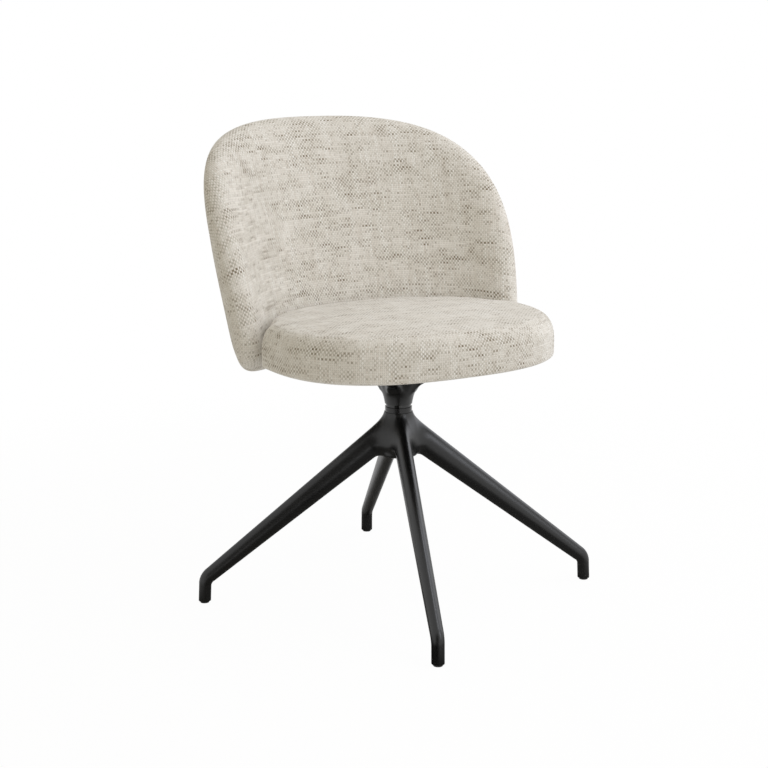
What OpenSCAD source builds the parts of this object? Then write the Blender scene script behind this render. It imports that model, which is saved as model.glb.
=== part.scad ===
// Swivel dining chair: an upholstered seat and wrap-round back on a cast base with four legs.
// Millimetres. The origin is on the swivel axis at the floor, +Z is up, and the sitter faces -Y.

/* [Base casting] */
// Distance from the swivel axis to the middle of a foot
foot_reach = 330; // [300:1:360]
// Direction of the first leg, from the sitter's left towards the rear
first_leg_angle = -20; // [-45:1:45]
// Height of the hub's top face above the floor
hub_top_z = 315.6; // [312:0.1:325]
// Height of the hub casting
hub_h = 74.6; // [72:0.1:80]
// Radius of the hub at its top face
hub_top_r = 22.3; // [21.5:0.1:24]
// Radius of the hub at its bottom
hub_r = 33; // [31:0.5:38]
// Depth of a leg where it leaves the hub, square to the leg
leg_hub_depth = 43.5; // [36:0.5:48]
// Width of a leg where it leaves the hub
leg_hub_w = 28; // [24:0.5:30]
// Depth of a leg just above its bend
leg_knee_depth = 25; // [22:0.5:30]
// Width of a leg just above its bend
leg_knee_w = 21.5; // [20:0.5:26]
// Height of the bend's corner, on the leg's centre line
knee_z = 40.8; // [36:0.1:60]
// Radius of the bend on the leg's centre line
knee_bend_r = 22; // [16:1:28]
// Diameter of the foot
foot_d = 20.5; // [18:0.5:24]
// Outward lean of the foot, as a share of its height
foot_lean_share = 0.05; // [0:0.01:0.08]

/* [Glides] */
// Height of a glide under the foot
glide_h = 3; // [2:0.1:5]
// Radius of a glide
glide_r = 7.5; // [6:0.1:9]
// Radius of the glide's stem
glide_stem_r = 3; // [2:0.1:4]
// Length of the glide's stem
glide_stem_l = 14; // [8:1:20]

/* [Pivot] */
// Radius of the spindle
spindle_r = 11; // [9:0.1:12]
// Wall of the bushes in the hub
bush_wall = 4; // [3:0.1:5]
// Length of each bush
bush_l = 20; // [14:1:24]
// Radius of the trim ring
trim_r = 22.5; // [22:0.1:24]
// Height of the trim ring
trim_h = 9; // [8:0.1:10]
// Radius of the steel collar that shows above the trim ring
collar_r = 21; // [20.2:0.1:22]
// Height of the collar that shows
collar_show_h = 4.8; // [4:0.1:6]
// Number of bearing balls
ball_count = 14; // [8:1:16]
// Radius of a bearing ball
ball_r = 2.35; // [2:0.05:2.4]

/* [Neck] */
// Height of the neck from the collar to its top face
neck_h = 42; // [38:0.5:48]
// Radius of the neck at its foot
neck_foot_r = 22.9; // [22:0.1:25]
// Radius of the neck at its top
neck_top_r = 37.5; // [34:0.5:42]
// Distance from the axis to each mounting bolt
pad_reach = 110; // [100:1:120]
// Radius of a mounting pad
pad_r = 14; // [12:0.5:18]
// Thickness of a mounting pad
pad_h = 13; // [10:0.5:16]
// Width of an arm
arm_w = 24; // [18:0.5:28]

/* [Seat cushion] */
// Half of the seat's width
seat_half_w = 249; // [225:1:265]
// Reach of the seat from its widest line to the front
seat_front_reach = 206; // [180:1:240]
// How far the seat's widest line lies behind the axis, which is less than zero in front of it
seat_wide_y = -10; // [-20:1:5]
// Height of the seat's underside above the floor
seat_bottom_z = 408.6; // [406:0.2:420]
// Height of the seat's top edge above its underside
seat_h = 74.4; // [68:0.2:90]
// Extra height of the seat's middle
seat_crown = 5; // [0:0.5:12]
// Width of the rounding along the seat's top edge
top_roll_w = 24; // [16:0.5:40]
// Height of the rounding along the seat's top edge
top_roll_h = 41; // [20:0.5:50]
// Width of the rounding along the seat's bottom edge
bottom_roll_w = 28; // [12:0.5:34]
// Height of the rounding along the seat's bottom edge
bottom_roll_h = 10; // [8:0.5:16]
// Squareness of the seat's corners, where 2 is an ellipse
seat_square_share = 2.6; // [2:0.05:3.4]

/* [Back cushion] */
// Height of the back's lower edge above the floor
back_bottom_z = 384.6; // [378:0.2:394]
// Height at which the back is widest
back_wide_z = 494.7; // [480:0.5:520]
// Height of the back's top edge
back_top_z = 789.4; // [740:1:830]
// Radius of the back's curve, across the chair
back_curve_r = 265; // [250:1:290]
// Depth of the back's curve, as a share of its radius
back_depth_share = 0.709; // [0.65:0.01:0.8]
// Angle that the back reaches round to each side
back_wrap = 80.5; // [60:0.5:86]
// Thickness of the back
back_t = 59.2; // [52:0.2:66]
// Rearward lean of the back, as a share of its height
back_lean_share = 0.257; // [0.15:0.005:0.35]
// Outward flare of the back, as a share of its height
back_flare_share = 0.1; // [0:0.01:0.15]
// How far the centre of the back's curve lies behind the axis, at the centre height
back_centre_y = 13.5; // [8:0.5:20]
// Height at which the back's radius and its centre are measured
back_centre_z = 494.7; // [470:0.1:520]
// Squareness of the back's upper corners, where 2 is an ellipse
back_top_square_share = 2.61; // [2:0.05:3.4]
// Squareness of the back's lower corners
back_bottom_square_share = 4.33; // [3:0.05:6]

/* [Boards and cloth] */
// Thickness of the cloth with its lining
cloth_t = 1.4; // [1:0.1:1.8]
// Thickness of the plywood seat board
seat_board_t = 12; // [10:0.5:18]
// Thickness of the moulded plywood in the back
back_board_t = 9; // [7:0.5:10]
// Thickness of the dust cover
dust_t = 0.6; // [0.4:0.1:0.9]
// Width of the struts that carry the back
strut_w = 32; // [24:1:36]
// Thickness of the struts
strut_t = 5; // [4:0.5:6]
// Angle round the back's curve at which each strut stands
strut_angle = 36; // [34:1:38]

/* [Hidden] */

// Clearances
overrun = 1;
run_gap = 0.05;
press_gap = 0.02;
face_gap = 0.1;
soft_gap = 0.4;
hole_gap = 0.2;

// Smoothness of round pieces
$fn = 64;

// Legs
leg_count = 4;
leg_root_r = 16;
leg_hub_r = 48.3;
leg_hub_z = 259;
leg_square_share = 2.6;
leg_points = 20;
leg_straight_steps = 3;
knee_steps = 5;
foot_end_z = glide_h + hole_gap;
foot_chamfer = 1.5;

// Hub and its bore
hub_bottom_z = hub_top_z - hub_h;
hub_bore_r = spindle_r + bush_wall;
hub_skirt_h = 21;
hub_collar_h = 5;
hub_edge_r = 3;
hub_steps = 12;
cap_bore_h = 16;
cap_bore_r = hub_bore_r + 4;
cap_t = 4;
cap_skirt_h = 3.5;
cap_wall = 1.5;
cap_inset = 0.5;

// Bushes
bush_flange_t = 2.7;
bush_flange_r = hub_bore_r + 3;
bush_top_inset = 1.6;
bush_lower_z = hub_bottom_z + cap_bore_h;

// Thrust bearing, from the hub's top upwards
race_t = 2.6;
race_inner_gap = 0.6;
race_r = 20;
ball_circle_r = 16.2;
cage_t = 2;
cage_wall = 0.55;
ball_hole_gap = 0.1;
ball_z = hub_top_z + race_t + run_gap + ball_r;
collar_z = ball_z + ball_r + run_gap;
collar_gap = 0.6;
collar_show_z = hub_top_z + trim_h + collar_gap;
neck_z = collar_show_z + collar_show_h;
trim_shadow_h = 0.6;
trim_shadow_w = 1.2;
trim_inner_gap = 0.4;

// Spindle and what holds it
spindle_seat_h = 22;
washer_t = 2.5;
washer_r = 17.5;
ring_t = 1.2;
ring_groove_depth = 1.1;
ring_w = 3.4;
ring_slot_w = 8;
ring_end_h = 3.1;
lift_play = 0.3;
washer_z = bush_lower_z - bush_flange_t - lift_play - washer_t;
groove_z = washer_z - ring_t - 2 * face_gap;
spindle_bottom_z = groove_z - ring_end_h;
spindle_top_z = neck_z + spindle_seat_h;

// Neck and arms
neck_top_z = neck_z + neck_h;
neck_steps = 10;
neck_bulge_share = 0.58;
neck_chamfer = 0.9;
arm_angle = 45;
arm_steps = 12;
dust_z = seat_bottom_z - face_gap;
pad_top_z = dust_z - face_gap;
pad_bottom_z = pad_top_z - pad_h;
arm_start_r = 30;
arm_start_h = 23.5;
arm_start_z = neck_z + arm_start_h;

// Seat cushion
soft_points = 44;
seat_rear_reach = 230;
squeeze_from_angle = 4;
squeeze_full_angle = 14;
squeeze_sharp_share = 24;
seat_back_gap = 1.8;
seat_top_z = seat_bottom_z + seat_h;
hem_w = 34;
roll_steps = 5;
bottom_steps = 3;
crown_shares = [0.16, 0.42, 0.72];
seat_middle_r = 110;
board_inset = 30;
board_rebate_gap = 2;
board_z = dust_z + dust_t + face_gap;
rebate_z = seat_bottom_z + cloth_t + 2 * face_gap;
board_top_z = board_z + seat_board_t;
dust_inset = 2;

// Back cushion
back_bow_share = 0.0344;
rim_sharp_share = 10;
rim_round_share = 2.4;
middle_shares = [0.18, 0.36, 0.54, 0.7];
rim_shares = [0.84, 0.94, 0.985];
rear_rim_shares = [0.985, 0.95];
rear_cover_edge_share = 0.93;
foam_lip_share = 0.9;
board_off = 5.8;
board_gap = 0.6;
rear_foam_off = board_off + back_board_t + board_gap;

// Struts
strut_end_l = 104;
strut_top_h = 115;
strut_bend_r = 10;
strut_bend_steps = 6;
strut_front_off = -2.6;
strut_seat_bolt_ls = [93, 75];
strut_back_bolt_hs = [45, 93];
strut_pocket_gap = 1;
head_pocket_h = 4.2;

// Fasteners
m8_r = 4;
m8_head_r = 7;
m8_head_h = 4.4;
m8_washer_r = 8;
m8_washer_t = 1.6;
m6_r = 3;
m6_head_r = 5.2;
m6_head_h = 3.3;
socket_share = 0.55;
tee_flange_t = 1.5;
tee_wall = 1.1;
tee_flange_w = 6;
tee_barrel_h = 8;
bolt_tip = 1;

// Functions that shapes share

function mix(a, b, share) = a + (b - a) * share;
function sum(list, i = 0) = i < len(list) ? list[i] + sum(list, i + 1) : 0 * list[0];
function middle(ring) = sum(ring) / len(ring);
function bend(a, power) = sign(a) * pow(abs(a), power);
function bezier(p, t) =
  pow(1 - t, 3) * p[0] + 3 * t * pow(1 - t, 2) * p[1] + 3 * t * t * (1 - t) * p[2] + t * t * t * p[3];

// Radius of a rounded box with half sides a and b, in one direction
function box_radius(angle, a, b, square) =
  pow(pow(abs(cos(angle)) / a, square) + pow(abs(sin(angle)) / b, square), -1 / square);

// A closed skin over rings of equal length, with a fan at each end. Where a skin turns back on
// itself, its faces fold along the other diagonal, so that its two layers stay parallel.
module loft(rings, turn_at = undef) {
  n = len(rings[0]);
  m = len(rings);
  points = concat([for (ring = rings) each ring], [middle(rings[0]), middle(rings[m - 1])]);
  sides = [
    for (k = [0:m - 2]) for (j = [0:n - 1])
      let (a = k * n + j, b = k * n + (j + 1) % n)
        each k >= (is_undef(turn_at) ? m : turn_at)
          ? [[a, a + n, b], [b, a + n, b + n]]
          : [[a, b + n, b], [a, a + n, b + n]]
  ];
  first = [for (j = [0:n - 1]) [m * n, j, (j + 1) % n]];
  last = [for (j = [0:n - 1]) [m * n + 1, (m - 1) * n + (j + 1) % n, (m - 1) * n + j]];
  polyhedron(points, concat(sides, first, last));
}

module tube(outer_r, inner_r, h) {
  difference() {
    cylinder(h = h, r = outer_r);
    translate([0, 0, -overrun]) cylinder(h = h + 2 * overrun, r = inner_r);
  }
}

// A button-head bolt that points up, with its head's top face at zero
module bolt(r, head_r, head_h, l) {
  difference() {
    union() {
      translate([0, 0, -head_h]) cylinder(h = head_h, r1 = head_r * (1 - socket_share / 2), r2 = head_r);
      cylinder(h = l, r = r);
    }
    translate([0, 0, -head_h - overrun])
      cylinder(h = head_h * socket_share + overrun, r = head_r * socket_share, $fn = 6);
  }
}

// A tee nut with its barrel below a flange whose top face is at zero
module tee_nut(r) {
  difference() {
    union() {
      translate([0, 0, -tee_flange_t]) cylinder(h = tee_flange_t, r = r + tee_flange_w);
      translate([0, 0, -tee_flange_t - tee_barrel_h]) cylinder(h = tee_barrel_h, r = r + tee_wall);
    }
    translate([0, 0, -tee_flange_t - tee_barrel_h - overrun])
      cylinder(h = tee_flange_t + tee_barrel_h + 2 * overrun, r = r + press_gap);
  }
}

// The hole that a tee nut seats in, from the same zero
module tee_nut_hole(r, depth) {
  translate([0, 0, -tee_flange_t - face_gap])
    cylinder(h = tee_flange_t + overrun, r = r + tee_flange_w + hole_gap);
  translate([0, 0, -depth - overrun]) cylinder(h = depth + 2 * overrun, r = r + tee_wall + press_gap);
}

module at_legs() {
  for (i = [0:leg_count - 1]) rotate([0, 0, first_leg_angle + i * 360 / leg_count]) children();
}

module at_pads() {
  for (i = [0:leg_count - 1]) rotate([0, 0, arm_angle + i * 360 / leg_count])
    translate([pad_reach, 0, 0]) children();
}

// Legs

knee_r = foot_reach - foot_lean_share * knee_z;
leg_dir = atan2(knee_z - leg_hub_z, knee_r - leg_hub_r);
foot_dir = atan2(-1, foot_lean_share);
knee_turn = leg_dir - foot_dir;
knee_run = knee_bend_r * tan(knee_turn / 2);
knee_start = [knee_r - knee_run * cos(leg_dir), knee_z - knee_run * sin(leg_dir)];

function leg_depth(r) = mix(leg_hub_depth, leg_knee_depth, (r - leg_hub_r) / (knee_start[0] - leg_hub_r));
function leg_width(r) = mix(leg_hub_w, leg_knee_w, (r - leg_hub_r) / (knee_start[0] - leg_hub_r));
function leg_z(r) = leg_hub_z + (r - leg_hub_r) * tan(leg_dir);
function knee_point(turned) = knee_start + knee_bend_r * [
  sin(turned - leg_dir) + sin(leg_dir), cos(turned - leg_dir) - cos(leg_dir)
];

// One cross-section of a leg: its centre, the way it points, its depth and its width
function leg_ring(r, z, dir, depth, width, square) = [
  for (j = [0:leg_points - 1])
    let (
      a = 360 * j / leg_points,
      v = depth / 2 * bend(cos(a), 2 / square),
      w = -width / 2 * bend(sin(a), 2 / square)
    ) [r - v * sin(dir), w, z + v * cos(dir)]
];

function leg_rings() = concat(
  [leg_ring(leg_root_r, leg_z(leg_root_r), 0, leg_depth(leg_root_r) / cos(leg_dir),
    leg_width(leg_root_r), leg_square_share)],
  [for (i = [0:leg_straight_steps - 1])
    let (r = mix(leg_hub_r, knee_start[0], i / leg_straight_steps))
      leg_ring(r, leg_z(r), leg_dir, leg_depth(r), leg_width(r), leg_square_share)],
  [for (i = [0:knee_steps])
    let (share = i / knee_steps, p = knee_point(share * knee_turn))
      leg_ring(p[0], p[1], leg_dir - share * knee_turn, mix(leg_knee_depth, foot_d, share),
        mix(leg_knee_w, foot_d, share), mix(leg_square_share, 2, share))],
  [for (up = [foot_chamfer, 0])
    leg_ring(foot_reach - foot_lean_share * (foot_end_z + up), foot_end_z + up, -90,
      foot_d - 2 * (foot_chamfer - up), foot_d - 2 * (foot_chamfer - up), 2)]
);

function hub_radius(z) =
  let (low = hub_bottom_z + hub_skirt_h, high = hub_top_z - hub_collar_h, share = (z - low) / (high - low))
    mix(hub_r, hub_top_r, (1 - cos(180 * share)) / 2);

module hub_body() {
  rotate_extrude() polygon(concat(
    [[0, hub_bottom_z], [hub_r - hub_edge_r, hub_bottom_z], [hub_r, hub_bottom_z + hub_edge_r]],
    [for (i = [0:hub_steps])
      let (z = mix(hub_bottom_z + hub_skirt_h, hub_top_z - hub_collar_h, i / hub_steps))
        [hub_radius(z), z]],
    [[hub_top_r, hub_top_z], [0, hub_top_z]]
  ));
}

module four_leg_base() {
  color([0.05, 0.05, 0.05]) difference() {
    union() {
      hub_body();
      at_legs() loft(leg_rings());
    }
    translate([0, 0, hub_top_z]) cylinder(h = leg_hub_depth, r = 2 * hub_r);
    translate([0, 0, hub_bottom_z]) cylinder(h = hub_h + overrun, r = hub_bore_r);
    translate([0, 0, hub_bottom_z - overrun]) cylinder(h = cap_bore_h + overrun, r = cap_bore_r);
    at_legs() translate([foot_reach, 0, 0])
      cylinder(h = foot_end_z + glide_stem_l + face_gap, r = glide_stem_r + press_gap);
  }
}

module foot_glides() {
  color([0.03, 0.03, 0.03]) at_legs() translate([foot_reach, 0, 0]) {
    cylinder(h = glide_h, r = glide_r);
    cylinder(h = glide_h + glide_stem_l, r = glide_stem_r);
  }
}

// Hub fittings

module hub_bush_lower() {
  color([0.75, 0.6, 0.35]) translate([0, 0, bush_lower_z]) {
    tube(hub_bore_r - press_gap, spindle_r + run_gap, bush_l);
    translate([0, 0, -bush_flange_t]) tube(bush_flange_r, spindle_r + run_gap, bush_flange_t - face_gap);
    translate([0, 0, -bush_flange_t]) tube(hub_bore_r - press_gap, spindle_r + run_gap, 2 * bush_flange_t);
  }
}

module hub_bush_upper() {
  color([0.75, 0.6, 0.35]) translate([0, 0, hub_top_z - bush_top_inset - bush_l])
    tube(hub_bore_r - press_gap, spindle_r + run_gap, bush_l);
}

module hub_cap() {
  color([0.05, 0.05, 0.05]) translate([0, 0, hub_bottom_z + cap_inset]) {
    cylinder(h = cap_t - cap_wall, r = cap_bore_r - face_gap);
    tube(cap_bore_r - face_gap, cap_bore_r - face_gap - cap_wall, cap_t + cap_skirt_h);
  }
}

module trim_ring() {
  color([0.08, 0.08, 0.08]) translate([0, 0, hub_top_z]) difference() {
    cylinder(h = trim_h, r = trim_r);
    translate([0, 0, -overrun]) cylinder(h = trim_h + 2 * overrun, r = race_r + trim_inner_gap);
    translate([0, 0, -overrun]) tube(trim_r + overrun, trim_r - trim_shadow_w, trim_shadow_h + overrun);
  }
}

module bearing_race_lower() {
  color([0.7, 0.7, 0.72]) translate([0, 0, hub_top_z]) tube(race_r, spindle_r + race_inner_gap, race_t);
}

module bearing_cage() {
  color([0.8, 0.7, 0.4]) translate([0, 0, ball_z]) difference() {
    translate([0, 0, -cage_t / 2])
      tube(ball_circle_r + ball_r + cage_wall, ball_circle_r - ball_r - cage_wall, cage_t);
    for (i = [0:ball_count - 1]) rotate([0, 0, i * 360 / ball_count])
      translate([ball_circle_r, 0, -cage_t]) cylinder(h = 2 * cage_t, r = ball_r + ball_hole_gap, $fn = 24);
  }
}

module bearing_balls() {
  color([0.8, 0.8, 0.82]) for (i = [0:ball_count - 1]) rotate([0, 0, i * 360 / ball_count])
    translate([ball_circle_r, 0, ball_z]) sphere(r = ball_r, $fn = 24);
}

module bearing_collar() {
  color([0.8, 0.8, 0.82]) {
    translate([0, 0, collar_z]) tube(race_r, spindle_r + press_gap, neck_z - collar_z);
    translate([0, 0, collar_show_z]) tube(collar_r, spindle_r + press_gap, neck_z - collar_show_z);
  }
}

// Neck and spindle

module swivel_spindle() {
  color([0.7, 0.7, 0.72]) difference() {
    translate([0, 0, spindle_bottom_z]) cylinder(h = spindle_top_z - spindle_bottom_z, r = spindle_r);
    translate([0, 0, groove_z])
      tube(spindle_r + overrun, spindle_r - ring_groove_depth, ring_t + 2 * face_gap);
  }
}

module retaining_washer() {
  color([0.7, 0.7, 0.72]) translate([0, 0, washer_z]) tube(washer_r, spindle_r + run_gap, washer_t);
}

module retaining_ring() {
  ring_inner_r = spindle_r - ring_groove_depth + face_gap;
  color([0.3, 0.3, 0.32]) translate([0, 0, groove_z + face_gap]) difference() {
    tube(ring_inner_r + ring_w, ring_inner_r, ring_t);
    translate([0, -ring_slot_w / 2, -overrun])
      cube([ring_inner_r + ring_w + overrun, ring_slot_w, ring_t + 2 * overrun]);
  }
}

function neck_radius(share) =
  mix(neck_foot_r, neck_top_r, mix(share, share * share, neck_bulge_share));

module neck_body() {
  rotate_extrude() polygon(concat(
    [[0, neck_z], [neck_foot_r - neck_chamfer, neck_z]],
    [for (i = [0:neck_steps])
      let (share = i / neck_steps) [neck_radius(share), mix(neck_z + neck_chamfer, neck_top_z, share)]],
    [[0, neck_top_z]]
  ));
}

// Side outline of an arm: the lower edge out to the pad, then the upper edge back to the neck
arm_low = [
  [arm_start_r, arm_start_z],
  [arm_start_r + pad_r / 2, arm_start_z + pad_h],
  [pad_reach - 3.5 * pad_r, pad_bottom_z - 1.5 * pad_h],
  [pad_reach, pad_bottom_z]
];
arm_high = [
  [pad_reach - pad_r / 2, pad_top_z],
  [pad_reach - 2.5 * pad_r, pad_top_z - pad_h / 2],
  [arm_start_r + pad_r, neck_top_z],
  [arm_start_r, neck_top_z]
];

module neck_arm() {
  rotate([90, 0, 0]) linear_extrude(height = arm_w, center = true) polygon(concat(
    [[0, arm_start_z]],
    [for (i = [0:arm_steps]) bezier(arm_low, i / arm_steps)],
    [[pad_reach, pad_top_z]],
    [for (i = [0:arm_steps]) bezier(arm_high, i / arm_steps)],
    [[0, neck_top_z]]
  ));
}

module neck_spider() {
  color([0.05, 0.05, 0.05]) difference() {
    union() {
      neck_body();
      for (i = [0:leg_count - 1]) rotate([0, 0, arm_angle + i * 360 / leg_count]) neck_arm();
      at_pads() translate([0, 0, pad_bottom_z]) cylinder(h = pad_h, r = pad_r);
    }
    translate([0, 0, neck_z - overrun]) cylinder(h = spindle_seat_h + overrun, r = spindle_r + press_gap);
    at_pads() translate([0, 0, pad_bottom_z - overrun])
      cylinder(h = pad_h + 2 * overrun, r = m8_r + hole_gap);
    at_pads() translate([0, 0, pad_bottom_z - 2 * pad_h])
      cylinder(h = 2 * pad_h, r = m8_washer_r + hole_gap);
  }
}

module spider_bolts() {
  head_z = pad_bottom_z - face_gap - m8_washer_t;
  color([0.1, 0.1, 0.1]) at_pads() translate([0, 0, head_z])
    bolt(m8_r, m8_head_r, m8_head_h, board_top_z - head_z - bolt_tip);
}

module spider_washers() {
  color([0.5, 0.5, 0.5]) at_pads() translate([0, 0, pad_bottom_z - face_gap - m8_washer_t])
    tube(m8_washer_r, m8_r + hole_gap, m8_washer_t);
}

module spider_tee_nuts() {
  color([0.6, 0.6, 0.6]) at_pads() translate([0, 0, board_top_z]) tee_nut(m8_r);
}

// Shape of the back: a curved sheet, given by its middle surface and a thickness that rounds off
// towards the edge

function back_radius(z) = back_curve_r + back_flare_share * (z - back_centre_z);
function back_y(z) =
  let (up = z - back_centre_z)
    back_centre_y + back_lean_share * up + back_bow_share * up * up / (back_top_z - back_centre_z);

back_wrap_l = back_curve_r * back_wrap * PI / 180;
back_slant = norm([1, back_lean_share + back_flare_share]);

// A point at a share of the wrap angle, at a height, and some way out from the middle surface
function back_point(wrap_share, z, off) =
  let (
    r = back_radius(z),
    a = wrap_share * back_wrap,
    n = [back_depth_share * sin(a), cos(a), -(back_lean_share * cos(a) + back_flare_share)]
  ) [r * sin(a), back_y(z) + back_depth_share * r * cos(a), z] + off * n / norm(n);

function back_half(share) =
  back_t / 2 * pow(max(0, 1 - pow(share, rim_sharp_share)), 1 / rim_round_share);

// One ring of the back at a share of its outline, some way out from the middle surface and some
// way in from the rim
function back_ring(share, off, inset = 0) = [
  for (j = [0:soft_points - 1])
    let (
      a = -360 * j / soft_points,
      up = sin(a) >= 0,
      square = up ? back_top_square_share : back_bottom_square_share,
      reach = up ? back_top_z - back_wide_z : back_wide_z - back_bottom_z,
      edge = box_radius(a, 1, 1, square),
      rim = edge * norm([cos(a) * back_wrap_l, sin(a) * reach]),
      r = share * edge * (1 - inset / rim)
    ) back_point(r * cos(a), back_wide_z + r * sin(a) * reach, off)
];

// Rings of one face, at given shares, inset from the outer skin
function back_face(shares, side, inset) =
  [for (s = shares) back_ring(s, side * max(0, back_half(s) - inset), inset)];

// Shape of the seat in plan: a rounded box whose rear follows the front face of the back

function seat_limit(angle, z, gap) =
  let (
    inner = back_t / 2 * back_slant + gap,
    a = back_radius(z) - inner,
    b = back_depth_share * back_radius(z) - inner,
    away = seat_wide_y - back_y(z),
    q = pow(cos(angle) / a, 2) + pow(sin(angle) / b, 2),
    h = away * sin(angle) / b / b,
    k = pow(away / b, 2) - 1
  ) (-h + sqrt(h * h - q * k)) / q;

function seat_radius(angle, z, inset) =
  let (
    rear = sin(angle) > 0,
    reach = rear ? seat_rear_reach : seat_front_reach,
    free = box_radius(angle, seat_half_w - inset, reach - inset, seat_square_share),
    side_angle = asin(abs(sin(angle))),
    share = min(1, max(0, (side_angle - squeeze_from_angle) / (squeeze_full_angle - squeeze_from_angle))),
    pull = rear ? share * share * (3 - 2 * share) : 0,
    limit = rear ? seat_limit(angle, z, seat_back_gap + inset) : free,
    sharp = squeeze_sharp_share
  ) pow(pow(free, -sharp) + pull * pow(limit, -sharp), -1 / sharp);

function seat_outline(z, inset) = [
  for (j = [0:soft_points - 1])
    let (a = -360 * j / soft_points, r = seat_radius(a, z, inset)) [r * cos(a), seat_wide_y + r * sin(a)]
];

function seat_ring(z, inset, rim_z = undef) = [
  for (p = seat_outline(is_undef(rim_z) ? z : rim_z, inset)) [p[0], p[1], z]
];

// Rings of the cushion from its crown down the side to its underside, inset all over from the
// cloth's face
function seat_rings(skin) = concat(
  [for (share = crown_shares)
    seat_ring(seat_top_z - skin + seat_crown * (1 - share * share),
      top_roll_w + (1 - share) * seat_middle_r, seat_top_z)],
  [for (i = [0:roll_steps])
    let (
      t = 90 * i / roll_steps,
      in = (top_roll_w - skin) * (1 - sin(t)) + skin,
      z = seat_top_z - skin - (top_roll_h - skin) * (1 - cos(t))
    ) seat_ring(z, in)],
  [for (i = [0:bottom_steps])
    let (
      t = 90 * i / bottom_steps,
      in = (bottom_roll_w - skin) * (1 - cos(t)) + skin,
      z = seat_bottom_z + bottom_roll_h - (bottom_roll_h - skin) * sin(t)
    ) seat_ring(z, in)]
);

function reversed(list) = [for (i = [len(list) - 1:-1:0]) list[i]];

// Upholstery of the seat

module seat_cover() {
  outer = concat(seat_rings(0), [seat_ring(seat_bottom_z, hem_w)]);
  inner = concat(seat_rings(cloth_t), [seat_ring(seat_bottom_z + cloth_t, hem_w)]);
  color([0.86, 0.83, 0.77]) loft(concat(outer, reversed(inner)), len(outer));
}

module board_outline(inset) {
  polygon(seat_outline(seat_bottom_z, inset));
}

module seat_board() {
  color([0.78, 0.62, 0.42]) difference() {
    union() {
      translate([0, 0, board_z]) linear_extrude(height = rebate_z - board_z)
        board_outline(hem_w + board_rebate_gap);
      translate([0, 0, rebate_z]) linear_extrude(height = board_top_z - rebate_z)
        board_outline(board_inset);
    }
    at_pads() translate([0, 0, board_top_z]) tee_nut_hole(m8_r, seat_board_t);
    at_strut_seat_bolts() translate([0, 0, board_top_z]) tee_nut_hole(m6_r, seat_board_t);
  }
}

module seat_foam() {
  skin = cloth_t + soft_gap;
  edge = board_inset - soft_gap;
  color([0.95, 0.92, 0.7]) loft(concat(
    seat_rings(skin),
    [for (z = [seat_bottom_z + skin, board_top_z + soft_gap]) seat_ring(z, edge, seat_bottom_z)]
  ));
}

module dust_cover() {
  color([0.1, 0.1, 0.1]) difference() {
    translate([0, 0, dust_z]) linear_extrude(height = dust_t) board_outline(hem_w + dust_inset);
    at_pads() cylinder(h = seat_top_z, r = m8_r + hole_gap);
    at_strut_seat_bolts() cylinder(h = seat_top_z, r = m6_r + hole_gap);
  }
}

// Struts that carry the back. Each lies under the seat, square to the back's curve, and bends up
// in front of the back's board.

strut_z = pad_top_z - strut_t;
strut_foot = back_point(strut_angle / back_wrap, pad_top_z, 0);
strut_top = back_point(strut_angle / back_wrap, pad_top_z + strut_top_h, 0);
strut_normal_angle = atan2(back_depth_share * sin(strut_angle), cos(strut_angle));
strut_out = [sin(strut_normal_angle), cos(strut_normal_angle), 0];
strut_lean_share = (strut_top - strut_foot) * strut_out / strut_top_h;
strut_lean = atan(strut_lean_share);

// Puts a shape drawn along +X, with +X away from the seat, on one side of the chair
module at_strut(side) {
  mirror([side < 0 ? 1 : 0, 0, 0])
    translate([strut_foot[0], strut_foot[1], 0]) rotate([0, 0, 90 - strut_normal_angle]) children();
}

module at_struts() {
  for (side = [-1, 1]) at_strut(side) children();
}

module at_strut_seat_bolts() {
  at_struts() for (l = strut_seat_bolt_ls) translate([-l, 0, 0]) children();
}

// The frame of a bolt through the upright: +Z points out through the board
module at_strut_back_bolts() {
  at_struts() for (h = strut_back_bolt_hs)
    translate([strut_front_off + h * strut_lean_share, 0, pad_top_z + h])
      rotate([0, 90 + strut_lean, 0]) children();
}

// Side outline of a strut: its inner face out and up, then its outer face back down
module strut_outline() {
  up = [sin(strut_lean), cos(strut_lean)];
  across = [cos(strut_lean), -sin(strut_lean)];
  corner = [strut_front_off, pad_top_z];
  turn = 90 - strut_lean;
  centre = corner + strut_bend_r * [-tan(turn / 2), 1];
  top = corner + up * strut_top_h;
  polygon(concat(
    [[-strut_end_l, corner[1]]],
    [for (i = [0:strut_bend_steps])
      let (a = -90 + turn * i / strut_bend_steps) centre + strut_bend_r * [cos(a), sin(a)]],
    [top, top + strut_t * across],
    [for (i = [strut_bend_steps:-1:0])
      let (a = -90 + turn * i / strut_bend_steps) centre + (strut_bend_r + strut_t) * [cos(a), sin(a)]],
    [[-strut_end_l, strut_z]]
  ));
}

module back_strut(side) {
  color([0.12, 0.12, 0.12]) difference() {
    at_strut(side) rotate([90, 0, 0])
      linear_extrude(height = strut_w, center = true) strut_outline();
    at_strut_seat_bolts() cylinder(h = seat_top_z, r = m6_r + hole_gap);
    at_strut_back_bolts() translate([0, 0, -strut_t]) cylinder(h = 3 * strut_t, r = m6_r + hole_gap);
  }
}

module back_strut_left() {
  back_strut(1);
}

module back_strut_right() {
  back_strut(-1);
}

module strut_seat_bolts() {
  head_z = strut_z - face_gap;
  color([0.3, 0.3, 0.3]) at_strut_seat_bolts() translate([0, 0, head_z])
    bolt(m6_r, m6_head_r, m6_head_h, board_top_z - head_z - bolt_tip);
}

strut_to_board_rear = board_off - strut_front_off + back_board_t;

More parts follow.
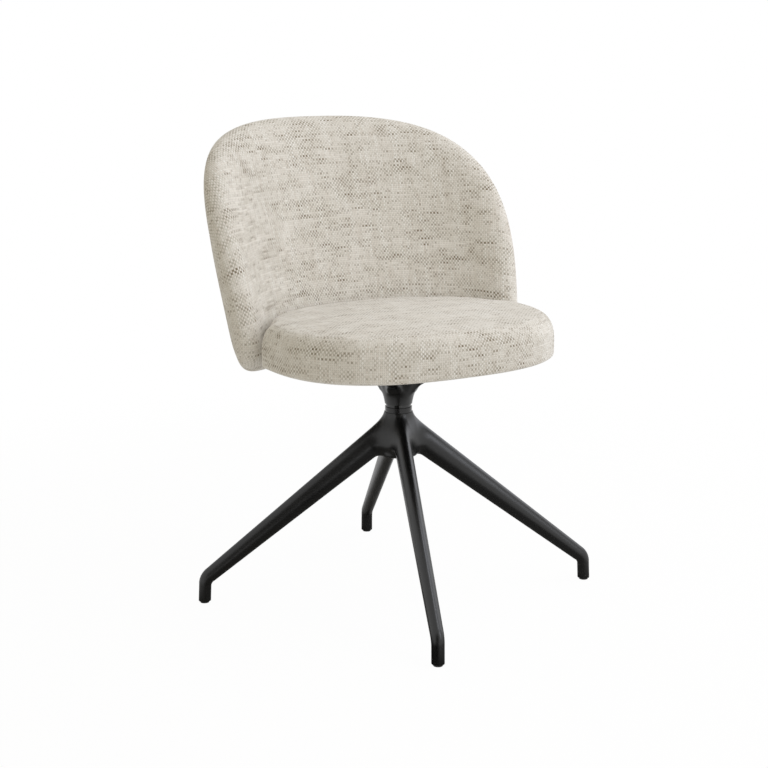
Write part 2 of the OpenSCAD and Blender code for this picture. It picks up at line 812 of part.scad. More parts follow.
module strut_back_bolts() {
  color([0.3, 0.3, 0.3]) at_strut_back_bolts() translate([0, 0, -face_gap])
    bolt(m6_r, m6_head_r, m6_head_h, strut_to_board_rear - bolt_tip);
}

module strut_tee_nuts() {
  color([0.6, 0.6, 0.6]) {
    at_strut_seat_bolts() translate([0, 0, board_top_z]) tee_nut(m6_r);
    at_strut_back_bolts() translate([0, 0, strut_to_board_rear + tee_flange_t]) tee_nut(m6_r);
  }
}

// Upholstery of the back

module back_board() {
  shares = concat(middle_shares, [rim_shares[0]]);
  front = [for (s = shares) back_ring(s, board_off)];
  rear = [for (s = shares) back_ring(s, board_off + back_board_t)];
  color([0.78, 0.62, 0.42]) difference() {
    loft(concat(front, reversed(rear)), len(front));
    at_strut_back_bolts() cylinder(h = 2 * strut_to_board_rear, r = m6_r + tee_wall + press_gap);
  }
}

// Room for the struts and their bolt heads inside the foam and through the cloth
module strut_room() {
  room = strut_w + 2 * strut_pocket_gap;
  low = strut_z - strut_pocket_gap;
  high = pad_top_z + strut_top_h + strut_pocket_gap;
  front = strut_front_off - head_pocket_h - strut_t;
  at_struts() {
    translate([-strut_end_l, -room / 2, low]) cube([strut_end_l, room, strut_t + 2 * strut_pocket_gap]);
    rotate([90, 0, 0]) linear_extrude(height = room, center = true) polygon([
      [front, low],
      [board_off + strut_t, low],
      [board_off + strut_t + strut_top_h * strut_lean_share, high],
      [front + strut_top_h * strut_lean_share, high]
    ]);
  }
}

module back_foam_front() {
  skin = cloth_t + soft_gap;
  shares = concat(middle_shares, rim_shares, [1]);
  outer = concat(back_face(shares, -1, skin), back_face(rear_rim_shares, 1, skin));
  inner_shares = reversed(concat(middle_shares, [rim_shares[0], foam_lip_share]));
  color([0.95, 0.92, 0.7]) difference() {
    loft(concat(outer, [for (s = inner_shares) back_ring(s, board_off - board_gap)]), len(outer));
    strut_room();
  }
}

module back_foam_rear() {
  skin = cloth_t + soft_gap;
  shares = concat(middle_shares, [rim_shares[0]]);
  color([0.95, 0.92, 0.7]) difference() {
    loft(
      concat([for (s = shares) back_ring(s, rear_foam_off)], reversed(back_face(shares, 1, skin))),
      len(shares)
    );
    at_strut_back_bolts() translate([0, 0, strut_to_board_rear - head_pocket_h])
      cylinder(h = tee_flange_t + 2 * head_pocket_h, r = m6_r + tee_flange_w + strut_pocket_gap);
  }
}

module back_cover_front() {
  shares = concat(middle_shares, rim_shares, [1]);
  outer = concat(back_face(shares, -1, 0), back_face(rear_rim_shares, 1, 0));
  inner = concat(back_face(shares, -1, cloth_t), back_face(rear_rim_shares, 1, cloth_t));
  color([0.86, 0.83, 0.77]) difference() {
    loft(concat(outer, reversed(inner)), len(outer));
    strut_room();
  }
}

module back_cover_rear() {
  shares = concat(middle_shares, [rim_shares[0], rear_cover_edge_share]);
  color([0.86, 0.83, 0.77]) loft(concat(back_face(shares, 1, cloth_t), reversed(back_face(shares, 1, 0))),
    len(shares));
}

four_leg_base();
foot_glides();
hub_bush_lower();
hub_bush_upper();
hub_cap();
trim_ring();
bearing_race_lower();
bearing_cage();
bearing_balls();
bearing_collar();
swivel_spindle();
neck_spider();
retaining_washer();
retaining_ring();
spider_bolts();
spider_washers();
spider_tee_nuts();
seat_board();
seat_foam();
seat_cover();
dust_cover();
back_strut_left();
back_strut_right();
strut_seat_bolts();
strut_back_bolts();
strut_tee_nuts();
back_board();
back_foam_front();
back_foam_rear();
back_cover_front();
back_cover_rear();
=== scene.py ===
import itertools
import math

import bmesh
import bpy
import numpy as np
from mathutils import Matrix, Vector


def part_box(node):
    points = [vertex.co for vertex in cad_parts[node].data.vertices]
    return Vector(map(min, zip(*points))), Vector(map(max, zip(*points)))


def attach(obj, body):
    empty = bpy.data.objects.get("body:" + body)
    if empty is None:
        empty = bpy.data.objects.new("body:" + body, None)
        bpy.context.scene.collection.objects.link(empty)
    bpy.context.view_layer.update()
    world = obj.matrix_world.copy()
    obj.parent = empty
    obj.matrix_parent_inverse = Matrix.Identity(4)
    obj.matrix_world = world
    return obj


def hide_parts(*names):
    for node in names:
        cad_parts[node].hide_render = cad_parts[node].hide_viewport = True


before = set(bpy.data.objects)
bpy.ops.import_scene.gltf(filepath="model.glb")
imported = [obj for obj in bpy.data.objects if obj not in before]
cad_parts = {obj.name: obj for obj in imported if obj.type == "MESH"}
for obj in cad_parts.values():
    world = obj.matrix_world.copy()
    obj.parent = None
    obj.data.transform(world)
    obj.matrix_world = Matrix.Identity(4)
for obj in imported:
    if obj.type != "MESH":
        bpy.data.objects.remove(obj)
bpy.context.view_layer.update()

# The swivel dining chair's looks. Shapes are worked out in millimetres, in the frame of the CAD
# model, and their points are turned to metres when a mesh is made.

MM = 0.001

# guards against dividing by nothing, and against powers too large to hold
nearest_middle = 0.05
least_slope = 0.05
largest_power = 30

# Base casting
foot_reach = 330
foot_lean = 0.05
leg_count = 4
first_leg_angle = -20
hub_top_z = 315.6
hub_bottom_z = 241
hub_top_r = 22.3
hub_r = 33
hub_skirt_top_z = 262
hub_collar_z = 310.6
hub_edge_r = 6
hub_bore_r = 15
hub_cap_bore_r = 19
hub_cap_bore_h = 16
leg_hub_r = 48.3
leg_hub_z = 259
leg_hub_depth = 43.5
leg_hub_w = 28
leg_knee_depth = 25
leg_knee_w = 21.5
leg_square = 1.8
foot_square = 2
knee_z = 40.8
knee_bend_r = 22
foot_d = 20.5
foot_bottom_z = 3.2
leg_fillet = 6.5
hub_fillet = 22
collar_fillet = 8
collar_fillet_from_z = 276
skirt_fillet = 9
casting_step = 2
# how far its mesh grid runs, or how far past it
foot_room = 16
base_grid_half_w = 48
base_grid_low_z = -4
hub_room = 4.4
bore_run_out = 2
round_segments = 96
crisp_angle = math.radians(38)

# Neck casting
neck_z = 330
neck_top_z = 372
neck_foot_r = 22.9
neck_top_r = 37.5
neck_bulge = 0.58
arm_angle = 45
arm_w = 24
arm_start_r = 30
arm_start_z = 353.5
pad_reach = 110
pad_r = 14
pad_h = 13
pad_top_z = 408.4
arm_edge_r = 7
arm_flatness = 0.8
arm_melt = 3
arm_fillet = 7
pad_fillet = 6
neck_edge_r = 3
neck_step = 1.5
# how far its mesh grid runs, or how far past it
neck_grid_half_w = 45
neck_room = 4.5

# Back cushion
back_wide_z = 494.7
back_top_z = 789.4
back_bottom_z = 384.6
back_curve_r = 265
back_depth = 0.709
back_wrap = math.radians(80.5)
back_t = 59.2
back_lean = 0.257
back_bow = 0.0344
back_flare = 0.1
back_centre_y = 13.5
back_top_square = 2.61
back_bottom_square = 4.33
rim_sharp = 10
rim_round = 2.4
back_flat_share = 0.8
# roughly its half width, which turns millimetres into a share of its outline
back_reach = 300
back_roll_count = 16
rear_panel_share = 0.86
rear_panel_sink = 0.2
rear_panel_rise = 0.6
rear_panel_sharp = 14
rear_panel_edge_count = 6

# Seat cushion
seat_half_w = 249
seat_front_reach = 206
seat_rear_reach = 230
seat_wide_y = -10
seat_square = 2.6
seat_bottom_z = 408.6
seat_top_z = 483
seat_crown = 5
top_roll_w = 24
top_roll_h = 41
bottom_roll_w = 28
bottom_roll_h = 10
hem_w = 34
squeeze_from_angle = 4
squeeze_full_angle = 14
squeeze_sharp = 24
seat_back_gap = 1.8
inner_lean_share = 1.3
top_roll_count = 14
side_count = 5
bottom_roll_count = 8
held_rings = 3
lining_overlap = 4
lining_count = 30

# Both cushions, and where on its edge a ring of points starts
cloth_t = 1.4
disc_count = 44
cushion_shrink = 2.0
start_at_rear = 1
start_at_side = 2


def mix(a, b, share):
    return a + (b - a) * share


def smooth_step(low, high, value):
    share = np.clip((value - low) / (high - low), 0, 1)
    return share * share * (3 - 2 * share)


def smooth_min(a, b, reach):
    """The smaller of two fields, rounded where they are nearer each other than reach."""
    near = np.clip(reach - np.abs(a - b), 0, None) / reach
    return np.minimum(a, b) - near * near * reach / 4


def smooth_max(a, b, reach):
    return -smooth_min(-a, -b, reach)


def melted(fields, reach):
    """One field for several that melt into each other alike, in whatever order they come."""
    return -reach * np.log(sum(np.exp(-np.clip(field / reach, -largest_power, largest_power))
                               for field in fields))


# Meshes

def new_object(name, data):
    """Puts a mesh, a lamp or a camera into the scene."""
    made = bpy.data.objects.new(name, data)
    bpy.context.scene.collection.objects.link(made)
    return made


def as_mesh(name, part):
    """Turns a bmesh into a mesh."""
    mesh = bpy.data.meshes.new(name)
    part.to_mesh(mesh)
    part.free()
    return mesh


def mesh_piece(name, points, faces):
    """A new object from points in millimetres."""
    mesh = bpy.data.meshes.new(name)
    mesh.from_pydata((np.asarray(points) * MM).tolist(), [], faces)
    mesh.update()
    mesh.shade_smooth()
    return new_object(name, mesh)


def apply_modifiers(piece):
    """Turns a piece into the mesh that its modifiers make."""
    bpy.context.view_layer.update()
    shaped = piece.evaluated_get(bpy.context.evaluated_depsgraph_get())
    mesh = bpy.data.meshes.new_from_object(shaped)
    piece.modifiers.clear()
    piece.data = mesh


def field_skin(field, low, high, step):
    """Points and quads of the surface where a field is zero, with one point in each crossed grid cell."""
    low = np.array(low, float)
    counts = [int(round((b - a) / step)) + 1 for a, b in zip(low, high)]
    axes = [a + step * np.arange(n) for a, n in zip(low, counts)]
    value = field(np.stack(np.meshgrid(*axes, indexing="ij"), -1))
    inside = value < 0
    corners = np.array(list(itertools.product((0, 1), repeat=3)))
    held = sum(inside[tuple(slice(c, n - 1 + c) for c, n in zip(corner, counts))].astype(int)
               for corner in corners)
    cells = np.argwhere((held > 0) & (held < 8))
    number = np.full([n - 1 for n in counts], -1)
    number[tuple(cells.T)] = np.arange(len(cells))
    corner_value = value[tuple((cells[:, None, :] + corners).transpose(2, 0, 1))]
    total = np.zeros((len(cells), 3))
    hits = np.zeros(len(cells))
    for a, b in itertools.combinations(range(8), 2):
        if np.abs(corners[a] - corners[b]).sum() != 1:
            continue
        start, end = corner_value[:, a], corner_value[:, b]
        crossed = (start < 0) != (end < 0)
        share = np.where(crossed, start / np.where(crossed, start - end, 1), 0)
        total += crossed[:, None] * (corners[a] + share[:, None] * (corners[b] - corners[a]))
        hits += crossed
    points = low + (cells + total / hits[:, None]) * step
    points = onto_surface(field, points)
    faces = []
    for axis in range(3):
        b, c = (axis + 1) % 3, (axis + 2) % 3
        start = np.take(inside, range(counts[axis] - 1), axis)
        end = np.take(inside, range(1, counts[axis]), axis)
        for leaves, edges in ((True, start & ~end), (False, ~start & end)):
            at = np.argwhere(edges)
            room = (at[:, b] > 0) & (at[:, c] > 0) & (at[:, b] < counts[b] - 1) & (at[:, c] < counts[c] - 1)
            at = at[room]
            quad = []
            for db, dc in ((0, 0), (-1, 0), (-1, -1), (0, -1)):
                cell = at.copy()
                cell[:, b] += db
                cell[:, c] += dc
                quad.append(number[tuple(cell.T)])
            faces.append(np.stack(quad if leaves else quad[::-1], -1))
    return points, np.concatenate(faces)


def onto_surface(field, points, rounds=4, probe=0.05):
    """Moves points along the field's slope until the field is zero there."""
    for _ in range(rounds):
        slope = np.stack([
            (field(points + probe * side) - field(points - probe * side)) / (2 * probe)
            for side in np.eye(3)
        ], -1)
        steep = np.clip((slope ** 2).sum(-1), least_slope, None)
        points = points - slope * (field(points) / steep)[:, None]
    return points


def quarter_casting(name, field, reach, half_w, z_low, z_high, step, turn):
    """A casting with four equal arms: one arm's quarter is meshed, cut at 45 degrees and repeated."""
    points, faces = field_skin(field, (-2 * step, -half_w, z_low), (reach, half_w, z_high), step)
    part = bmesh.new()
    corners = [part.verts.new(p) for p in points]
    for face in faces.tolist():
        part.faces.new([corners[i] for i in face])
    for side in (-1, 1):
        bmesh.ops.bisect_plane(part, geom=part.verts[:] + part.edges[:] + part.faces[:], dist=1e-5,
                               plane_co=(0, 0, 0), plane_no=(-1, side, 0), clear_outer=True)
    quarter = as_mesh(name, part)
    whole = bmesh.new()
    for i in range(leg_count):
        before = len(whole.verts)
        whole.from_mesh(quarter)
        whole.verts.ensure_lookup_table()
        angle = math.radians(turn + i * 360 / leg_count)
        bmesh.ops.rotate(whole, verts=whole.verts[before:], cent=(0, 0, 0),
                         matrix=Matrix.Rotation(angle, 3, "Z"))
    bpy.data.meshes.remove(quarter)
    bmesh.ops.remove_doubles(whole, verts=whole.verts[:], dist=0.02)
    return whole


def cut_flat(part, z, keep_above):
    """Cuts a bmesh at a height and closes the cut with flat faces."""
    bmesh.ops.bisect_plane(part, geom=part.verts[:] + part.edges[:] + part.faces[:], dist=1e-4,
                           plane_co=(0, 0, z), plane_no=(0, 0, 1),
                           clear_inner=keep_above, clear_outer=not keep_above)
    rim = [e for e in part.edges if e.is_boundary]
    bmesh.ops.holes_fill(part, edges=rim, sides=0)


def casting_piece(name, part):
    """A bmesh in millimetres becomes an object with smooth faces and crisp machined edges."""
    bmesh.ops.recalc_face_normals(part, faces=part.faces[:])
    bmesh.ops.scale(part, vec=(MM, MM, MM), verts=part.verts[:])
    mesh = as_mesh(name, part)
    mesh.shade_smooth()
    mesh.set_sharp_from_angle(angle=crisp_angle)
    return new_object(name, mesh)


def quarter_turns(x, y):
    """Places as each of four equal arms has them: how far along the arm, and how far across it."""
    return (x, y), (y, -x), (-y, x), (-x, -y)


# Base casting: four legs that run out of a hub, in one smooth skin

knee_reach = foot_reach - foot_lean * knee_z
leg_dir = math.atan2(knee_z - leg_hub_z, knee_reach - leg_hub_r)
foot_dir = math.atan2(-1, foot_lean)
knee_turn = leg_dir - foot_dir
knee_run = knee_bend_r * math.tan(knee_turn / 2)
knee_start = (knee_reach - knee_run * math.cos(leg_dir), knee_z - knee_run * math.sin(leg_dir))
knee_centre = (knee_start[0] + knee_bend_r * math.sin(leg_dir),
               knee_start[1] - knee_bend_r * math.cos(leg_dir))
knee_end = (knee_centre[0] + knee_bend_r * math.sin(-foot_dir),
            knee_centre[1] + knee_bend_r * math.cos(-foot_dir))


def leg_field(x, y, z):
    """How far a point is outside a leg that runs along +X, bends at its knee and stands on its foot.

    The straight part, the bend and the foot each measure v, the distance above the leg's middle line.
    """
    out, up = x - knee_start[0], z - knee_start[1]
    straight_v = -out * math.sin(leg_dir) + up * math.cos(leg_dir)
    straight_r = knee_start[0] + (out * math.cos(leg_dir) + up * math.sin(leg_dir)) * math.cos(leg_dir)
    share = (straight_r - leg_hub_r) / (knee_start[0] - leg_hub_r)
    out, up = x - knee_centre[0], z - knee_centre[1]
    turned = (np.arctan2(out, up) + leg_dir) / knee_turn
    bend_v = np.hypot(out, up) - knee_bend_r
    out, up = x - knee_end[0], z - knee_end[1]
    foot_v = -out * math.sin(foot_dir) + up * math.cos(foot_dir)
    zones = [turned < 0, turned < 1]
    bent = np.clip(turned, 0, 1)
    v = np.select(zones, [straight_v, bend_v], foot_v)
    depth = np.where(turned < 0, mix(leg_hub_depth, leg_knee_depth, share), mix(leg_knee_depth, foot_d, bent))
    width = np.where(turned < 0, mix(leg_hub_w, leg_knee_w, share), mix(leg_knee_w, foot_d, bent))
    square = mix(leg_square, foot_square, bent)
    spread = (np.abs(2 * v / depth) ** square + np.abs(2 * y / width) ** square) ** (1 / square)
    distance = np.hypot(v, y) * (1 - 1 / np.clip(spread, nearest_middle, None))
    return np.maximum(distance, -x)


def base_field(p):
    x, y, z = p[..., 0], p[..., 1], p[..., 2]
    up = np.clip((z - hub_skirt_top_z) / (hub_collar_z - hub_skirt_top_z), 0, 1)
    hub = np.hypot(x, y) - mix(hub_r, hub_top_r, (1 - np.cos(math.pi * up)) / 2)
    hub = smooth_max(hub, hub_bottom_z - z, hub_edge_r)
    legs = melted([leg_field(along, across, z) for along, across in quarter_turns(x, y)], leg_fillet)
    fillet = mix(skirt_fillet, hub_fillet, smooth_step(hub_bottom_z, hub_skirt_top_z, z))
    fillet = mix(fillet, collar_fillet, smooth_step(collar_fillet_from_z, hub_top_z, z))
    return smooth_min(legs, hub, fillet)


def base_casting():
    part = quarter_casting("base_casting", base_field, foot_reach + foot_room, base_grid_half_w,
                           base_grid_low_z, hub_top_z + hub_room, casting_step, first_leg_angle)
    cut_flat(part, hub_top_z, keep_above=False)
    cut_flat(part, foot_bottom_z, keep_above=True)
    piece = casting_piece("base_casting", part)
    bores = bmesh.new()
    for r, high in ((hub_bore_r, hub_top_z + bore_run_out), (hub_cap_bore_r, hub_bottom_z + hub_cap_bore_h)):
        low = hub_bottom_z - bore_run_out
        made = bmesh.ops.create_cone(bores, cap_ends=True, segments=round_segments,
                                     radius1=r, radius2=r, depth=high - low)
        bmesh.ops.translate(bores, verts=made["verts"], vec=(0, 0, (low + high) / 2))
    cutter = casting_piece("hub_bores", bores)
    cut = piece.modifiers.new("bore", "BOOLEAN")
    cut.operation = "DIFFERENCE"
    cut.object = cutter
    cut.use_self = True
    apply_modifiers(piece)
    bpy.data.objects.remove(cutter)
    piece.data.set_sharp_from_angle(angle=crisp_angle)
    return piece


# Neck casting: a flared cone that opens into four arms

def bezier(ends, count=40):
    """Points on a cubic curve between the first and last of four points."""
    t = np.linspace(0, 1, count)[:, None]
    a, b, c, d = (np.array(p, float) for p in ends)
    return a * (1 - t) ** 3 + 3 * b * t * (1 - t) ** 2 + 3 * c * t ** 2 * (1 - t) + d * t ** 3


# an arm's lower and upper edge from the side; the middle two points of each steer its curve
arm_low = bezier([
    (arm_start_r, arm_start_z), (arm_start_r + pad_r / 2, arm_start_z + pad_h),
    (pad_reach - 3.5 * pad_r, pad_top_z - 2.5 * pad_h), (pad_reach, pad_top_z - pad_h)
])
arm_high = bezier([
    (arm_start_r, neck_top_z), (arm_start_r + pad_r, neck_top_z),
    (pad_reach - 2.5 * pad_r, pad_top_z - pad_h / 2), (pad_reach - pad_r / 2, pad_top_z)
])


def neck_field(p):
    x, y, z = p[..., 0], p[..., 1], p[..., 2]
    share = (z - neck_z) / (neck_top_z - neck_z)
    bulge = mix(share, share * np.abs(share), neck_bulge)
    cone = np.hypot(x, y) - mix(neck_foot_r, neck_top_r, bulge)
    cone = smooth_max(cone, z - neck_top_z, neck_edge_r)
    arms = []
    for along, across in quarter_turns(x, y):
        low = np.interp(along, arm_low[:, 0], arm_low[:, 1])
        high = np.interp(along, arm_high[:, 0], arm_high[:, 1])
        thick = np.abs(z - (low + high) / 2) - (high - low) / 2
        side = np.abs(across) - arm_w / 2
        end = np.hypot(along - pad_reach, across) - pad_r
        plan = smooth_min(np.maximum(side, along - pad_reach), end, pad_fillet)
        bar = smooth_max(thick * arm_flatness, plan, arm_edge_r)
        arms.append(np.maximum(bar, -along))
    return smooth_min(cone, melted(arms, arm_melt), arm_fillet)


def neck_casting():
    part = quarter_casting("neck_casting", neck_field, pad_reach + pad_r + neck_room, neck_grid_half_w,
                           neck_z - neck_room, pad_top_z + neck_room, neck_step, arm_angle)
    cut_flat(part, neck_z, keep_above=True)
    return casting_piece("neck_casting", part)


# Cushions: square grids drawn out into discs, and bands of rings between them

class Skin:
    """Points, faces and each face corner's place in the cloth, all in millimetres."""

    def __init__(self):
        self.points = np.zeros((0, 3))
        self.faces = []
        self.cloth = []

    def add_points(self, points):
        first = len(self.points)
        self.points = np.concatenate([self.points, points.reshape(-1, 3)])
        return first + np.arange(points[..., 0].size).reshape(points.shape[:-1])

    def add_sheet(self, ids, cloth, outward=True):
        """Faces over a grid of point numbers, with the cloth's place at each of the grid's points."""
        rows, columns = ids.shape
        square = ((0, 0), (0, 1), (1, 1), (1, 0))
        if not outward:
            square = square[::-1]
        corner_ids = np.stack([ids[r:rows - 1 + r, c:columns - 1 + c] for r, c in square], -1)
        corner_cloth = np.stack([cloth[r:rows - 1 + r, c:columns - 1 + c] for r, c in square], -2)
        self.faces += corner_ids.reshape(-1, 4).tolist()
        self.cloth.append(corner_cloth.reshape(-1, 2))

    def piece(self, name):
        made = mesh_piece(name, self.points, self.faces)
        cloth = np.concatenate(self.cloth)
        place = made.data.attributes.new("cloth_mm", "FLOAT_VECTOR", "CORNER")
        place.data.foreach_set("vector", np.column_stack([cloth, np.zeros(len(cloth))]).ravel())
        return made


def disc_grid(count):
    """Angles and shares of the radius for a square grid that is drawn out into a disc."""
    j, i = np.mgrid[-count:count + 1, -count:count + 1]
    k = np.maximum(np.abs(i), np.abs(j))
    full = np.maximum(k, 1)
    eighth = math.pi / 4
    angle = np.select(
        [(i == k) & (j > -k), j == k, (i == -k)],
        [eighth * j / full, 2 * eighth - eighth * i / full, 4 * eighth - eighth * j / full],
        6 * eighth + eighth * i / full)
    return angle, k / count


def grid_edge(grid, start):
    """The outer places of a square grid in turn, anticlockwise, closed, from a side's middle."""
    edge = np.concatenate([grid[:-1, -1], grid[-1, :0:-1], grid[:0:-1, 0], grid[0, :-1]])
    side = len(edge) // 4
    edge = np.roll(edge, -(side // 2 + start * side), 0)
    return np.concatenate([edge, edge[:1]])


def closed(rings):
    """Rings of point numbers, each with its first point again at its end."""
    return np.concatenate([rings, rings[:, :1]], 1)


def lengths_down(points):
    """How far each point lies from the first row, along its own column."""
    steps = np.linalg.norm(np.diff(points, axis=0), axis=-1)
    return np.concatenate([np.zeros((1,) + steps.shape[1:]), np.cumsum(steps, 0)])


# Back cushion

def back_radius(z):
    return back_curve_r + back_flare * (z - back_wide_z)


def back_y(z):
    up = z - back_wide_z
    return back_centre_y + back_lean * up + back_bow * up * up / (back_top_z - back_wide_z)


def back_point(wrap, z, off):
    """A point of the back: its share of the half wrap, its height, and its distance behind the middle."""
    a = wrap * back_wrap
    across = np.stack([
        back_depth * np.sin(a), np.cos(a), -(back_lean * np.cos(a) + back_flare)
    ], -1)
    across /= np.linalg.norm(across, axis=-1, keepdims=True)
    r = back_radius(z)
    middle = np.stack([r * np.sin(a), back_y(z) + back_depth * r * np.cos(a), z], -1)
    return middle + np.asarray(off)[..., None] * across


def back_outline(angle):
    """Half width and half height of the back's outline in one direction from its centre."""
    c, s = np.cos(angle), np.sin(angle)
    square = np.where(s >= 0, back_top_square, back_bottom_square)
    reach = np.where(s >= 0, back_top_z - back_wide_z, back_wide_z - back_bottom_z)
    edge = (np.abs(c) ** square + np.abs(s) ** square) ** (-1 / square)
    return edge * c, edge * s * reach


def back_place(angle, share, half):
    """Points of the back at shares of its outline; half is the signed distance from its middle."""
    wrap, rise = back_outline(angle)
    return back_point(share * wrap, back_wide_z + share * rise, half)


wrap_steps = np.linspace(0, back_wrap, 121)
wrap_speed = back_curve_r * np.hypot(np.cos(wrap_steps), back_depth * np.sin(wrap_steps))
wrap_length = np.concatenate([[0], np.cumsum((wrap_speed[1:] + wrap_speed[:-1]) / 2 * np.diff(wrap_steps))])


def back_cloth(angle, share):
    """The cloth's place at shares of the back's outline, measured along the curve of the back."""
    wrap, rise = back_outline(angle)
    across = np.sign(wrap) * np.interp(np.abs(share * wrap) * back_wrap, wrap_steps, wrap_length)
    return np.stack([across, share * rise * math.hypot(1, back_lean)], -1)


def back_rolls(count):
    """Shares and half thicknesses down the rim's roll, from the flat face to the rim."""
    first = math.acos(back_flat_share ** (rim_sharp / 2))
    turn = np.linspace(first, 0, count + 1)[1:]
    share = np.cos(turn) ** (2 / rim_sharp)
    half = np.sin(turn) ** (2 / rim_round) * back_t / 2
    return share, half


def back_half(share):
    return back_t / 2 * (1 - share ** rim_sharp) ** (1 / rim_round)


def back_cushion():
    """The back's padded form, closed, from its inner face over the rim to its rear face."""
    skin = Skin()
    angle, grid_share = disc_grid(disc_count)
    edge_angle = grid_edge(angle, start_at_side)
    share = grid_share * back_flat_share
    front = skin.add_points(back_place(angle, share, -back_half(share) + cushion_shrink))
    rear = skin.add_points(back_place(angle, share, back_half(share) - cushion_shrink))
    roll_share, roll_half = back_rolls(back_roll_count)
    skin.add_sheet(front, back_cloth(angle, share))
    skin.add_sheet(rear, back_cloth(angle, share), outward=False)
    shares = np.concatenate([roll_share, roll_share[-2::-1]])
    halves = np.concatenate([-roll_half, roll_half[-2::-1]])
    slim = np.clip(1 - cushion_shrink / (back_t / 2), 0, 1)
    around = edge_angle[None, :-1]
    ring_shares = (shares * (1 - cushion_shrink / back_reach))[:, None] + 0 * around
    ids = closed(skin.add_points(back_place(around, ring_shares, (halves * slim)[:, None] + 0 * around)))
    ids = np.concatenate([grid_edge(front, start_at_side)[None], ids, grid_edge(rear, start_at_side)[None]])
    length = lengths_down(skin.points[ids])
    start = back_cloth(edge_angle, back_flat_share)
    outward = start / np.linalg.norm(start, axis=-1, keepdims=True)
    skin.add_sheet(ids, start + length[..., None] * outward, outward=False)
    held = np.unique(np.concatenate([rear.ravel(), ids[-back_roll_count // 2:].ravel()]))
    return skin, held


# Seat cushion

def seat_limit(angle, z, gap):
    """Distance from the seat's centre to the back's inner face."""
    inner = back_t / 2 * math.hypot(1, math.hypot(back_lean, back_flare) * inner_lean_share) + gap
    a = back_radius(z) - inner
    b = back_depth * back_radius(z) - inner
    away = seat_wide_y - back_y(z)
    c, s = np.cos(angle), np.sin(angle)
    q = (c / a) ** 2 + (s / b) ** 2
    h = away * s / b ** 2
    k = (away / b) ** 2 - 1
    return (-h + np.sqrt(np.clip(h * h - q * k, 0, None))) / q


def seat_radius(angle, z, inset):
    """Distance from the seat's centre to its edge, where the back holds it in at the rear."""
    c, s = np.cos(angle), np.sin(angle)
    reach = np.where(s >= 0, seat_rear_reach, seat_front_reach) - inset
    wide = np.abs(c / (seat_half_w - inset)) ** seat_square
    deep = np.abs(s / reach) ** seat_square
    free = (wide + deep) ** (-1 / seat_square)
    lean = np.degrees(np.arcsin(np.abs(s)))
    pull = smooth_step(squeeze_from_angle, squeeze_full_angle, lean) * (s >= 0)
    limit = seat_limit(angle, z, seat_back_gap + inset)
    return (free ** -squeeze_sharp + pull * limit ** -squeeze_sharp) ** (-1 / squeeze_sharp)


def seat_ring(angle, z, inset):
    r = seat_radius(angle, z, inset)
    return np.stack([r * np.cos(angle), seat_wide_y + r * np.sin(angle), z + 0 * r], -1)


def drawn_in(ring, share):
    """Places in plan, each drawn in towards the seat's centre to its share of the way out."""
    return (ring[..., :2] - (0, seat_wide_y)) * share[..., None] + (0, seat_wide_y)


def seat_cushion():
    """The seat's padded form, closed: a crowned top, rolled edges and a hem under the board's rim."""
    shrink = cushion_shrink
    skin = Skin()
    angle, share = disc_grid(disc_count)
    edge_angle = grid_edge(angle, start_at_rear)
    shoulder = seat_radius(angle, seat_top_z, top_roll_w)
    spread = share * shoulder
    crown = seat_top_z - shrink + seat_crown * (1 - share ** 2)
    top = skin.add_points(np.stack([
        spread * np.cos(angle), seat_wide_y + spread * np.sin(angle), crown], -1))
    skin.add_sheet(top, skin.points[top][..., :2])
    turn = np.linspace(0, math.pi / 2, top_roll_count + 1)[1:]
    insets = list(top_roll_w * (1 - np.sin(turn)) + shrink * np.sin(turn))
    heights = list(seat_top_z - shrink - (top_roll_h - shrink) * (1 - np.cos(turn)))
    side = np.linspace(heights[-1], seat_bottom_z + bottom_roll_h, side_count + 1)[1:]
    insets += [shrink] * side_count
    heights += list(side)
    turn = np.linspace(0, math.pi / 2, bottom_roll_count + 1)[1:]
    insets += list(bottom_roll_w * (1 - np.cos(turn)) + shrink)
    heights += list(seat_bottom_z + bottom_roll_h - bottom_roll_h * np.sin(turn))
    insets.append(hem_w)
    heights.append(seat_bottom_z)
    rings = np.stack([seat_ring(edge_angle[:-1], z, inset) for z, inset in zip(heights, insets)])
    ids = np.concatenate([grid_edge(top, start_at_rear)[None], closed(skin.add_points(rings))])
    points = skin.points[ids]
    fall = lengths_down(points)
    along = lengths_down(points[top_roll_count])
    along -= along[-1] / 2
    drop = -(seat_front_reach - top_roll_w) + seat_wide_y - fall
    skin.add_sheet(ids, np.stack([along[None] + 0 * fall, drop], -1), outward=False)
    under = seat_ring(angle, seat_bottom_z, hem_w)
    under[..., :2] = drawn_in(under, share)
    inner = share < 1
    bottom = np.empty(angle.shape, int)
    bottom[inner] = skin.add_points(under[inner])
    order = grid_edge(np.arange(bottom.size).reshape(bottom.shape), start_at_rear)[:-1]
    bottom.ravel()[order] = ids[-1, :-1]
    skin.add_sheet(bottom, under[..., :2], outward=False)
    held = np.unique(np.concatenate([bottom.ravel(), ids[-held_rings:].ravel()]))
    return skin, held


# Cloth simulation: air pressure swells a cushion that starts a little small

swell_pressure = 4
swell_frames = 14
swell_cap = 3.2
swell_rounds = 24


def vertex_values(mesh, name):
    values = np.empty(len(mesh.vertices) * 3)
    mesh.vertices.foreach_get(name, values)
    return values.reshape(-1, 3)


